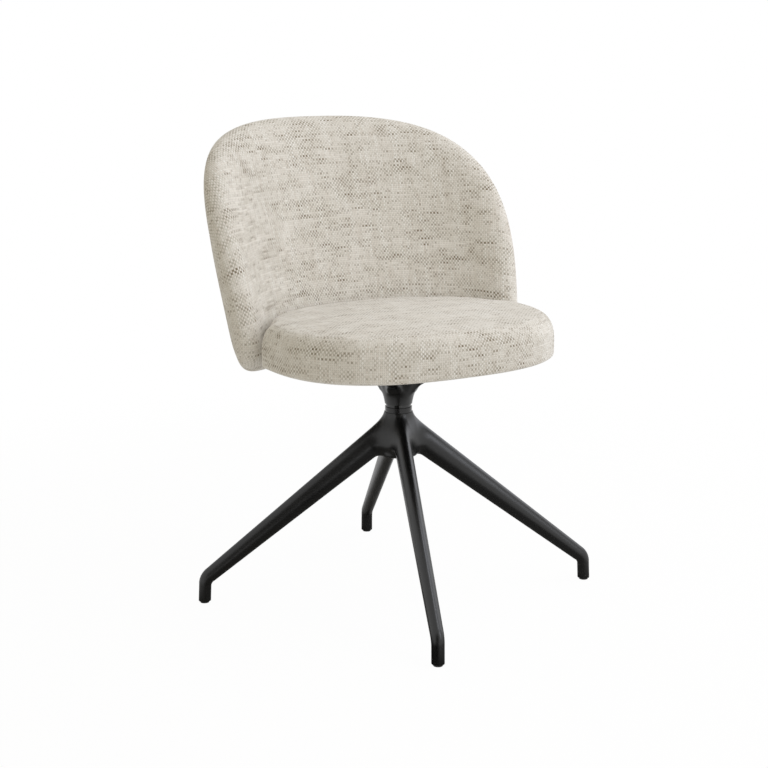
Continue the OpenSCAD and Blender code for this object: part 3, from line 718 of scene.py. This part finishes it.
def spread_evenly(mesh, value, rounds):
    """Evens out a value over a mesh: each round, a point takes the mean of itself and its neighbours."""
    ends = np.empty(len(mesh.edges) * 2, int)
    mesh.edges.foreach_get("vertices", ends)
    a, b = ends.reshape(-1, 2).T
    for _ in range(rounds):
        total = value + np.bincount(a, value[b], len(value)) + np.bincount(b, value[a], len(value))
        value = total / (1 + np.bincount(a, minlength=len(value)) + np.bincount(b, minlength=len(value)))
    return value


def swell(piece, held):
    """Swells a cushion with cloth under pressure.

    The simulation alone would leave the outline lumpy and pull the back's top down, so only its
    outward part is kept, short of the cap, and evened out. The points that it held follow only that.
    """
    group = piece.vertex_groups.new(name="held")
    group.add([int(i) for i in held], 1.0, "REPLACE")
    before = vertex_values(piece.data, "co")
    outward = vertex_values(piece.data, "normal")
    cloth = piece.modifiers.new("pressure", "CLOTH")
    cloth.settings.use_pressure = True
    cloth.settings.uniform_pressure_force = swell_pressure
    cloth.settings.effector_weights.gravity = 0
    cloth.settings.vertex_group_mass = "held"
    scene = bpy.context.scene
    for f in range(1, swell_frames + 1):
        scene.frame_set(f)
    shaped = piece.evaluated_get(bpy.context.evaluated_depsgraph_get())
    moved = ((vertex_values(shaped.data, "co") - before) * outward).sum(1)
    piece.modifiers.remove(cloth)
    scene.frame_set(1)
    cap = swell_cap * MM
    rise = cap * np.tanh(np.clip(moved, 0, None) / cap)
    rise = spread_evenly(piece.data, rise, swell_rounds)
    piece.data.vertices.foreach_set("co", (before + rise[:, None] * outward).ravel())
    piece.vertex_groups.clear()


def padded_piece(name, made):
    skin, held = made
    piece = skin.piece(name)
    swell(piece, held)
    finer = piece.modifiers.new("finer", "SUBSURF")
    finer.levels = 1
    finer.render_levels = 1
    apply_modifiers(piece)
    return piece


def rear_panel():
    """The back's rear cover: a thin closed panel whose edge is drawn down tight on the cushion."""
    skin = Skin()
    angle, grid_share = disc_grid(disc_count)
    share = grid_share * rear_panel_share
    tuck = (cushion_shrink + rear_panel_sink * cloth_t) * grid_share ** rear_panel_sharp
    outer_off = back_half(share) + cloth_t * rear_panel_rise - tuck
    outer = skin.add_points(back_place(angle, share, outer_off))
    inner = skin.add_points(back_place(angle, share, outer_off - cloth_t))
    skin.add_sheet(outer, back_cloth(angle, share), outward=False)
    skin.add_sheet(inner, back_cloth(angle, share))
    edge_angle = grid_edge(angle, start_at_side)
    turn = np.linspace(0, math.pi, rear_panel_edge_count + 2)[1:-1, None] + 0 * edge_angle[None, :-1]
    edge_share = rear_panel_share + cloth_t / 2 * np.sin(turn) / back_curve_r
    edge_off = outer_off.max(where=grid_share == 1, initial=0) - cloth_t / 2 * (1 - np.cos(turn))
    ring = closed(skin.add_points(back_place(edge_angle[None, :-1] + 0 * turn, edge_share, edge_off)))
    ids = np.concatenate([grid_edge(outer, start_at_side)[None], ring, grid_edge(inner, start_at_side)[None]])
    start = back_cloth(edge_angle, rear_panel_share)
    over_edge = np.linspace(0, math.pi / 2, len(ids))[:, None, None] * cloth_t
    skin.add_sheet(ids, start + over_edge * start / np.linalg.norm(start, axis=-1, keepdims=True))
    return skin.piece("back_rear_panel")


# Materials

noise_low = 0.3
noise_high = 0.7
cloud_mm = 30

# Weave: pitches, runs and sizes in millimetres, and shares from 0 to 1
warp_pitch = 3.15
weft_pitch = 3.5
wander_mm = 16
wander_reach = 1.2
thread_round = 0.6
thread_rise = 0.4
thread_edge = 0.08
thread_bump = 0.5
warp_run = 40
weft_run = 45
patch_across = 70
patch_along = 26
band_across = 14
band_along = 150
spool_low = 0.35
spool_high = 0.65
spool_most = 0.5
slub_run = 30
slub_patch = 0.42
slub_low = 0.76
slub_high = 1.02
slub_most = 0.9
flecks_per_slub = 3.0
fleck_patch = 0.3
fleck_low = 0.62
fleck_high = 0.92
fleck_most = 0.5
hollow_low = 0.05
hollow_high = 0.6
hollow_light = 0.72


def colour(code):
    """An sRGB hex colour, as the linear colour that a shader takes."""
    parts = [int(code[i:i + 2], 16) / 255 for i in (1, 3, 5)]
    return [p / 12.92 if p <= 0.04045 else ((p + 0.055) / 1.055) ** 2.4 for p in parts] + [1.0]


def add_node(tree, kind, inputs=(), **settings):
    """Adds a node. Its inputs are plain values, nodes or sockets, by place or by name.

    A colour Mix takes its share at 0 and its two colours at 6 and 7, and gives its colour at 2.
    """
    node = tree.nodes.new("ShaderNode" + kind)
    for setting, value in settings.items():
        setattr(node, setting, value)
    for place, value in (inputs.items() if isinstance(inputs, dict) else enumerate(inputs)):
        if isinstance(value, bpy.types.Node):
            value = value.outputs[0]
        if isinstance(value, bpy.types.NodeSocket):
            tree.links.new(value, node.inputs[place])
        elif value is not None:
            node.inputs[place].default_value = value
    return node


def new_finish(name, values):
    """A material with one Principled shader that has these plain values."""
    material = bpy.data.materials.new(name)
    material.use_nodes = True
    tree = material.node_tree
    shader = tree.nodes["Principled BSDF"]
    for socket, value in values.items():
        shader.inputs[socket].default_value = value
    return material, tree, shader


def slub_weave():
    """Plain-woven upholstery cloth of cream yarn, whose weft has slubs of grey-brown fibre.

    The threads are drawn coarser than real ones of about 2 mm, because those are too fine to show
    at this distance.
    """
    material, tree, shader = new_finish("slub_weave_cloth", {
        "Roughness": 0.95, "Specular IOR Level": 0.1, "Sheen Weight": 0.45, "Sheen Roughness": 0.35})
    cloth = add_node(tree, "Attribute", attribute_name="cloth_mm").outputs["Vector"]
    wander = add_node(tree, "TexNoise", {"Vector": cloth, "Scale": 1 / wander_mm, "Detail": 1})
    wander = add_node(tree, "VectorMath", [wander.outputs["Color"], (0.5, 0.5, 0.5)], operation="SUBTRACT")
    wander = add_node(tree, "VectorMath", {0: wander, "Scale": wander_reach}, operation="SCALE")
    place = add_node(tree, "VectorMath", [cloth, wander], operation="ADD")
    threads = add_node(tree, "VectorMath", [place, (1 / warp_pitch, 1 / weft_pitch, 0)], operation="MULTIPLY")
    number = add_node(tree, "VectorMath", [threads], operation="FLOOR")
    within = add_node(tree, "VectorMath", [threads, number], operation="SUBTRACT")
    warp, weft = add_node(tree, "SeparateXYZ", [number]).outputs[:2]
    across = add_node(tree, "SeparateXYZ", [place]).outputs[0]

    # which thread lies on top, +1 for the warp and -1 for the weft
    count = add_node(tree, "Math", [warp, weft], operation="ADD")
    odd = add_node(tree, "Math", [count, 2.0], operation="FLOORED_MODULO")
    over = add_node(tree, "Math", [odd, -2.0, 1.0], operation="MULTIPLY_ADD")

    # each thread's round back, which rises where the thread lies on top
    turn = add_node(tree, "VectorMath", [within, (math.pi, math.pi, 0)], operation="MULTIPLY")
    backs = add_node(tree, "VectorMath", [turn], operation="SINE")
    warp_back, weft_back = add_node(tree, "SeparateXYZ", [backs]).outputs[:2]
    rises = add_node(tree, "VectorMath", {0: backs, "Scale": over}, operation="SCALE")
    warp_lift, weft_lift = add_node(tree, "SeparateXYZ", [rises]).outputs[:2]
    warp_rise = add_node(tree, "Math", [weft_lift, thread_rise], operation="MULTIPLY")
    weft_rise = add_node(tree, "Math", [warp_lift, -thread_rise], operation="MULTIPLY")
    warp_top = add_node(tree, "Math", [warp_back, thread_round, warp_rise], operation="MULTIPLY_ADD")
    weft_top = add_node(tree, "Math", [weft_back, thread_round, weft_rise], operation="MULTIPLY_ADD")
    height = add_node(tree, "Math", [warp_top, weft_top], operation="MAXIMUM")
    lead = add_node(tree, "Math", [weft_top, warp_top], operation="SUBTRACT")
    weft_seen = add_node(tree, "MapRange", [lead, -thread_edge, thread_edge, 0.0, 1.0])

    # every thread has a shade of its own, which changes slowly along it
    seeds = add_node(tree, "VectorMath", [number, (5.71, 7.13, 0)], operation="MULTIPLY")
    warp_seed, weft_seed = add_node(tree, "SeparateXYZ", [seeds]).outputs[:2]
    run = add_node(tree, "VectorMath", [place, (1 / weft_run, 1 / warp_run, 0)], operation="MULTIPLY")
    run_across, run_along = add_node(tree, "SeparateXYZ", [run]).outputs[:2]
    weft_line = add_node(tree, "CombineXYZ", [run_across, weft_seed, 0.0])
    warp_line = add_node(tree, "CombineXYZ", [run_along, warp_seed, 0.0])
    weft_slow = add_node(tree, "TexNoise", {"Vector": weft_line, "Scale": 1.0}, noise_dimensions="2D")
    warp_slow = add_node(tree, "TexNoise", {"Vector": warp_line, "Scale": 1.0}, noise_dimensions="2D")
    weft_tone = add_node(tree, "MapRange", [weft_slow, noise_low, noise_high, 0.0, 1.0])
    warp_tone = add_node(tree, "MapRange", [warp_slow, noise_low, noise_high, 0.0, 1.0])

    # broad patches of yarn from other spools, and bands of paler warp
    patch_at = add_node(tree, "VectorMath", [cloth, (1 / patch_across, 1 / patch_along, 1)],
                        operation="MULTIPLY")
    band_at = add_node(tree, "VectorMath", [cloth, (1 / band_across, 1 / band_along, 1)],
                       operation="MULTIPLY")
    patch = add_node(tree, "TexNoise", {"Vector": patch_at, "Scale": 1.0}, noise_dimensions="2D")
    band = add_node(tree, "TexNoise", {"Vector": band_at, "Scale": 1.0, "Detail": 1}, noise_dimensions="2D")
    patch_tone = add_node(tree, "MapRange", [patch, spool_low, spool_high, 0.0, spool_most])
    band_tone = add_node(tree, "MapRange", [band, spool_low, spool_high, 0.0, spool_most])
    pale = add_node(tree, "Mix", {0: weft_tone, 6: colour("#ebe8e1"), 7: colour("#d6d3ca")}, data_type="RGBA")
    pale = add_node(tree, "Mix", {0: patch_tone, 6: pale.outputs[2], 7: colour("#c9c6b9")}, data_type="RGBA")
    wide = add_node(tree, "Mix", {0: warp_tone, 6: colour("#f2f0ec"), 7: colour("#dfd8d0")}, data_type="RGBA")
    wide = add_node(tree, "Mix", {0: band_tone, 6: wide.outputs[2], 7: colour("#dcd6ce")}, data_type="RGBA")

    # slubs: short thick runs of grey-brown fibre in single weft threads, and fainter flecks between them
    slub_across = add_node(tree, "Math", [across, 1 / slub_run], operation="MULTIPLY")
    slub_line = add_node(tree, "CombineXYZ", [slub_across, weft_seed, 0.0])
    slub = add_node(tree, "TexNoise", {"Vector": slub_line, "Scale": 1.0, "Detail": 1}, noise_dimensions="2D")
    slub = add_node(tree, "Math", [patch, slub_patch, slub], operation="MULTIPLY_ADD")
    slub = add_node(tree, "MapRange", [slub, slub_low, slub_high, 0.0, slub_most])
    fleck_across = add_node(tree, "Math", [slub_across, flecks_per_slub], operation="MULTIPLY")
    fleck_line = add_node(tree, "CombineXYZ", [fleck_across, weft_seed, 0.0])
    fleck = add_node(tree, "TexNoise", {"Vector": fleck_line, "Scale": 1.0, "Detail": 1},
                     noise_dimensions="2D")
    fleck = add_node(tree, "Math", [patch, fleck_patch, fleck], operation="MULTIPLY_ADD")
    fleck = add_node(tree, "MapRange", [fleck, fleck_low, fleck_high, 0.0, fleck_most])
    dark = add_node(tree, "Math", [slub, fleck], operation="MAXIMUM")
    fine = add_node(tree, "Mix", {0: dark, 6: pale.outputs[2], 7: colour("#776a54")}, data_type="RGBA")
    seen = add_node(tree, "Mix", {0: weft_seen, 6: wide.outputs[2], 7: fine.outputs[2]}, data_type="RGBA")

    # less light reaches the hollows between the threads
    hollow = add_node(tree, "MapRange", [height, hollow_low, hollow_high, hollow_light, 1.0])
    seen = add_node(tree, "VectorMath", {0: seen.outputs[2], "Scale": hollow}, operation="SCALE")
    tree.links.new(seen.outputs[0], shader.inputs["Base Color"])
    bump = add_node(tree, "Bump", {"Strength": 0.5, "Distance": thread_bump * MM, "Height": height})
    tree.links.new(bump.outputs[0], shader.inputs["Normal"])
    return material


def object_mm(tree):
    """Places on the object in millimetres."""
    place = add_node(tree, "TexCoord").outputs["Object"]
    return add_node(tree, "VectorMath", {0: place, "Scale": 1 / MM}, operation="SCALE").outputs[0]


def grained(name, values, dark, light, grain_mm, bump_mm, rough_low, rough_high, stretch=(1, 1, 1)):
    """A finish whose shade and roughness vary a little, with a fine grain in its surface."""
    material, tree, shader = new_finish(name, values)
    place = add_node(tree, "VectorMath", [object_mm(tree), stretch], operation="MULTIPLY")
    slow = add_node(tree, "TexNoise", {"Vector": place, "Scale": 1 / cloud_mm, "Detail": 3})
    grain = add_node(tree, "TexNoise", {"Vector": place, "Scale": 1 / grain_mm, "Detail": 2})
    shade = add_node(tree, "Mix", {0: slow, 6: colour(dark), 7: colour(light)}, data_type="RGBA").outputs[2]
    rough = add_node(tree, "MapRange", [slow, noise_low, noise_high, rough_low, rough_high])
    bump = add_node(tree, "Bump", {"Strength": 0.5, "Distance": bump_mm * MM, "Height": grain})
    tree.links.new(shade, shader.inputs["Base Color"])
    tree.links.new(rough.outputs[0], shader.inputs["Roughness"])
    tree.links.new(bump.outputs[0], shader.inputs["Normal"])
    return material


def powder_coat():
    """Satin black powder coat, baked on a cast aluminium part: dark, with soft wide highlights."""
    return grained("satin_black_powder_coat", {"Specular IOR Level": 0.55}, "#0b0b0b", "#101010",
                   grain_mm=0.9, bump_mm=0.02, rough_low=0.3, rough_high=0.35)


def trim_plastic():
    """Semi-gloss black nylon, moulded: a little shinier than the castings on both sides of it."""
    return grained("semi_gloss_black_nylon", {"Specular IOR Level": 0.5}, "#0c0c0c", "#111111",
                   grain_mm=0.6, bump_mm=0.01, rough_low=0.2, rough_high=0.26)


def glide_plastic():
    """Black polyethylene, moulded with a matt skin that scuffs on the floor."""
    return grained("matt_black_polyethylene", {}, "#151515", "#242424",
                   grain_mm=0.8, bump_mm=0.04, rough_low=0.55, rough_high=0.7)


def bush_polymer():
    """Oil-filled bearing polymer, moulded: waxy ochre."""
    return grained("ochre_bearing_polymer", {}, "#a98544", "#c29c58",
                   grain_mm=0.7, bump_mm=0.02, rough_low=0.35, rough_high=0.5)


def ground_steel():
    """Bearing steel, ground round its axis and polished: bright, with fine rings."""
    return grained("ground_bearing_steel", {"Metallic": 1.0}, "#b9babd", "#cfd0d2",
                   grain_mm=0.5, bump_mm=0.01, rough_low=0.14, rough_high=0.22, stretch=(0.2, 0.2, 4))


def blackened_steel():
    """Turned steel collar, blackened in hot oxide and oiled: near black and glossy."""
    return grained("blackened_turned_steel", {"Specular IOR Level": 0.6}, "#0b0b0b", "#131313",
                   grain_mm=0.5, bump_mm=0.01, rough_low=0.12, rough_high=0.18, stretch=(0.2, 0.2, 4))


def pressed_brass():
    """Brass sheet, pressed and drilled: warm yellow with a dull polish."""
    return grained("pressed_brass", {"Metallic": 1.0}, "#c8a04f", "#dbb765",
                   grain_mm=1.2, bump_mm=0.02, rough_low=0.25, rough_high=0.35)


def bright_zinc():
    """Steel screws and nuts with bright zinc plate: bluish grey, slightly cloudy."""
    return grained("bright_zinc_plate", {"Metallic": 1.0}, "#aeb4bb", "#c9ced3",
                   grain_mm=1.5, bump_mm=0.02, rough_low=0.28, rough_high=0.42)


def strut_enamel():
    """Flat steel bar, bent and dipped in black enamel: smooth and half glossy."""
    return grained("black_enamel_on_bar", {}, "#0d0d0d", "#151515",
                   grain_mm=2.5, bump_mm=0.05, rough_low=0.28, rough_high=0.38)


def birch_plywood():
    """Birch plywood: pale veneer with fine grain along the seat's width."""
    return grained("birch_plywood", {}, "#b98f5c", "#d9b585",
                   grain_mm=1.0, bump_mm=0.05, rough_low=0.55, rough_high=0.7, stretch=(0.08, 1, 1))


def lining_cloth():
    """Black spun-bonded lining: thin matt fibre felt."""
    return grained("black_spunbond_lining", {"Specular IOR Level": 0.2, "Sheen Weight": 0.2},
                   "#131313", "#232323", grain_mm=1.2, bump_mm=0.15, rough_low=0.85, rough_high=0.95)


def seen_or_mirrored(tree):
    """1 where a thing is seen straight, in a reflection or through glass, and 0 where it only lights."""
    path = add_node(tree, "LightPath")
    seen = add_node(tree, "Math", [path.outputs["Is Camera Ray"], path.outputs["Is Glossy Ray"]],
                    operation="MAXIMUM")
    return add_node(tree, "Math", [seen, path.outputs["Is Transmission Ray"]], operation="MAXIMUM")


def feathered(tree, surface, place, fade):
    """A surface that turns clear between two distances from its middle."""
    reach = add_node(tree, "VectorMath", [place], operation="LENGTH").outputs["Value"]
    faded = add_node(tree, "MapRange", [reach, *fade, 0.0, 1.0], interpolation_type="SMOOTHSTEP")
    clear = add_node(tree, "BsdfTransparent")
    return add_node(tree, "MixShader", [faded, surface, clear])


def white_floor():
    """Plain white studio floor. Seen or mirrored it nearly all glows, and so fades into the surround."""
    material = bpy.data.materials.new("white_studio_floor")
    material.use_nodes = True
    tree = material.node_tree
    tree.nodes.clear()
    glow_share = add_node(tree, "Math", [seen_or_mirrored(tree), floor_glow], operation="MULTIPLY")
    matt = add_node(tree, "BsdfDiffuse", {"Color": colour("#f4f4f4")})
    glow = add_node(tree, "Emission", {"Color": (1, 1, 1, 1), "Strength": 1.0})
    surface = add_node(tree, "MixShader", [glow_share, matt, glow])
    place = add_node(tree, "TexCoord").outputs["Object"]
    add_node(tree, "OutputMaterial", [feathered(tree, surface, place, floor_fade)])
    return material


# Stage, light and camera

floor_glow = 0.97
floor_r = 1.8
floor_fade = (0.8, 1.7)
card_fade = (0.3, 0.5)
lens_mm = 71.96
sensor_mm = 36
camera_place = (-1.2664, -2.1451, 0.924)
camera_tilt = math.radians(77.282)
camera_turn = math.radians(-30)
world_light = 0.56
world_tint = (1.02, 0.965, 0.84)
lamp_tint = (0.97, 1.0, 1.1)
lamps = {
    # name: azimuth and elevation in degrees, distance, width and height in metres, watts
    "right_side": (96, 24, 2.0, 1.6, 1.3, 8.5),
    "right_overhead": (60, 60, 2.2, 1.1, 1.1, 12),
    "front_right": (30, 25, 2.2, 0.8, 1.4, 9),
}
flags = {
    # name: shade, azimuth in degrees, distance and height in metres, tilt in degrees,
    # width and length in metres
    "front_flag": ("#808080", -40, 1.9, 0.8, 90, 2.4, 2.2),
    "far_flag": ("#0e0e0e", -45, 1.55, 0.005, 0, 1.7, 1.3),
    "near_flag": ("#0e0e0e", -32, 0.75, 0.004, 0, 0.3, 1.4),
    # painted shade: a grey card that only gloss shows, standing in for the shaded floor under the chair
    "under_chair_shade_card": ("#8a8a8a", 0, 0, 0.003, 0, 1.1, 1.1),
}
chair_middle = Vector((0, 0, 0.45))


def towards(azimuth, elevation):
    """A direction from the chair, by azimuth and elevation in degrees: 0 is the front and 90 the sitter's
    left.
    """
    a, e = math.radians(azimuth), math.radians(elevation)
    return Vector((math.sin(a) * math.cos(e), -math.cos(a) * math.cos(e), math.sin(e)))


def add_lamps():
    for name, (azimuth, elevation, distance, width, height, watts) in lamps.items():
        lamp = bpy.data.lights.new(name, "AREA")
        lamp.shape = "RECTANGLE"
        lamp.size = width
        lamp.size_y = height
        lamp.energy = watts
        lamp.color = lamp_tint
        holder = new_object(name, lamp)
        direction = towards(azimuth, elevation)
        holder.location = chair_middle + direction * distance
        holder.rotation_euler = direction.to_track_quat("Z", "Y").to_euler()


def felt_card(name, shade):
    """Felt card with a feathered edge, so that no hard line shows in a reflection."""
    material, tree, shader = new_finish(name + "_felt", {
        "Base Color": colour(shade), "Roughness": 1.0, "Specular IOR Level": 0.0})
    place = add_node(tree, "TexCoord").outputs["Generated"]
    place = add_node(tree, "VectorMath", [place, (0.5, 0.5, 0.5)], operation="SUBTRACT")
    place = add_node(tree, "VectorMath", [place, (1, 1, 0)], operation="MULTIPLY")
    shown = feathered(tree, shader, place, card_fade)
    tree.links.new(shown.outputs[0], tree.nodes["Material Output"].inputs["Surface"])
    return material


def add_flags():
    """Grey and black cards that only gloss shows, as dark bands between the lamps' reflections."""
    for name, (shade, azimuth, distance, height, tilt, width, length) in flags.items():
        part = bmesh.new()
        bmesh.ops.create_grid(part, x_segments=1, y_segments=1, size=0.5)
        bmesh.ops.scale(part, vec=(width, length, 1), verts=part.verts[:])
        mesh = as_mesh(name, part)
        mesh.materials.append(felt_card(name, shade))
        card = new_object(name, mesh)
        card.location = towards(azimuth, 0) * distance + Vector((0, 0, height))
        card.rotation_euler = (math.radians(tilt), 0, math.radians(azimuth))
        for rays in ("camera", "diffuse", "transmission", "volume_scatter", "shadow"):
            setattr(card, "visible_" + rays, False)


def add_world():
    """A warm grey world lights the chair; seen or mirrored, it is plain white."""
    world = bpy.data.worlds.new("studio")
    bpy.context.scene.world = world
    world.use_nodes = True
    tree = world.node_tree
    lit = [world_light * part for part in world_tint] + [1.0]
    shares = {0: seen_or_mirrored(tree), 6: lit, 7: (1, 1, 1, 1)}
    shown = add_node(tree, "Mix", shares, data_type="RGBA").outputs[2]
    tree.links.new(shown, tree.nodes["Background"].inputs["Color"])


def add_floor():
    part = bmesh.new()
    bmesh.ops.create_circle(part, cap_ends=True, segments=round_segments, radius=floor_r)
    floor = new_object("floor", as_mesh("floor", part))
    floor.data.materials.append(white_floor())


def add_camera():
    lens = bpy.data.cameras.new("view")
    lens.lens = lens_mm
    lens.sensor_width = sensor_mm
    lens.sensor_fit = "HORIZONTAL"
    camera = new_object("view", lens)
    camera.location = camera_place
    camera.rotation_euler = (camera_tilt, 0, camera_turn)
    bpy.context.scene.camera = camera


# Assembly

def dress(piece, body, slot, material, *nodes):
    """Gives a new piece its body and its finish, and hides the CAD nodes that it stands for."""
    piece.data.materials.clear()
    piece.data.materials.append(material)
    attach(piece, body)
    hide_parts(*nodes)


def finish_nodes(material, *names):
    for name in names:
        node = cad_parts[name]
        node.data.materials.clear()
        node.data.materials.append(material)


def dust_lining():
    """The lining under the seat: a thin closed sheet just below the seat's board."""
    low, high = (np.array(p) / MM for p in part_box("dust_cover"))
    skin = Skin()
    angle, share = disc_grid(lining_count)
    flat = drawn_in(seat_ring(angle, seat_bottom_z, hem_w - lining_overlap), share)
    sheets = []
    for z in (low[2], high[2]):
        points = np.concatenate([flat, (z + 0 * share)[..., None]], -1)
        sheets.append(skin.add_points(points))
    skin.add_sheet(sheets[0], flat, outward=False)
    skin.add_sheet(sheets[1], flat)
    rim = np.stack([grid_edge(sheet, start_at_rear) for sheet in sheets])
    skin.add_sheet(rim, np.zeros(rim.shape + (2,)))
    return skin.piece("dust_lining")


bpy.context.scene.view_settings.view_transform = "Standard"
add_camera()
add_world()
add_lamps()
add_flags()
add_floor()

weave = slub_weave()
coat = powder_coat()
seat_pad = padded_piece("seat_cushion", seat_cushion())
dress(seat_pad, "seat", "slub_fabric", weave, "seat_foam", "seat_cover")
back_pad = padded_piece("back_cushion", back_cushion())
dress(back_pad, "seat", "slub_fabric", weave, "back_foam_front", "back_foam_rear", "back_cover_front")
dress(rear_panel(), "seat", "slub_fabric", weave, "back_cover_rear")
dress(dust_lining(), "seat", "lining_cloth", lining_cloth(), "dust_cover")
dress(base_casting(), "base", "black_enamel", coat, "four_leg_base")
dress(neck_casting(), "seat", "black_enamel", coat, "neck_spider")

finish_nodes(trim_plastic(), "trim_ring", "hub_cap")
finish_nodes(glide_plastic(), "foot_glides")
finish_nodes(bush_polymer(), "hub_bush_lower", "hub_bush_upper")
finish_nodes(ground_steel(), "bearing_race_lower", "bearing_balls", "swivel_spindle")
finish_nodes(blackened_steel(), "bearing_collar")
finish_nodes(pressed_brass(), "bearing_cage")
finish_nodes(bright_zinc(), "retaining_washer", "retaining_ring", "spider_bolts", "spider_washers",
             "spider_tee_nuts", "strut_seat_bolts", "strut_back_bolts", "strut_tee_nuts")
finish_nodes(strut_enamel(), "back_strut_left", "back_strut_right")
finish_nodes(birch_plywood(), "seat_board", "back_board")
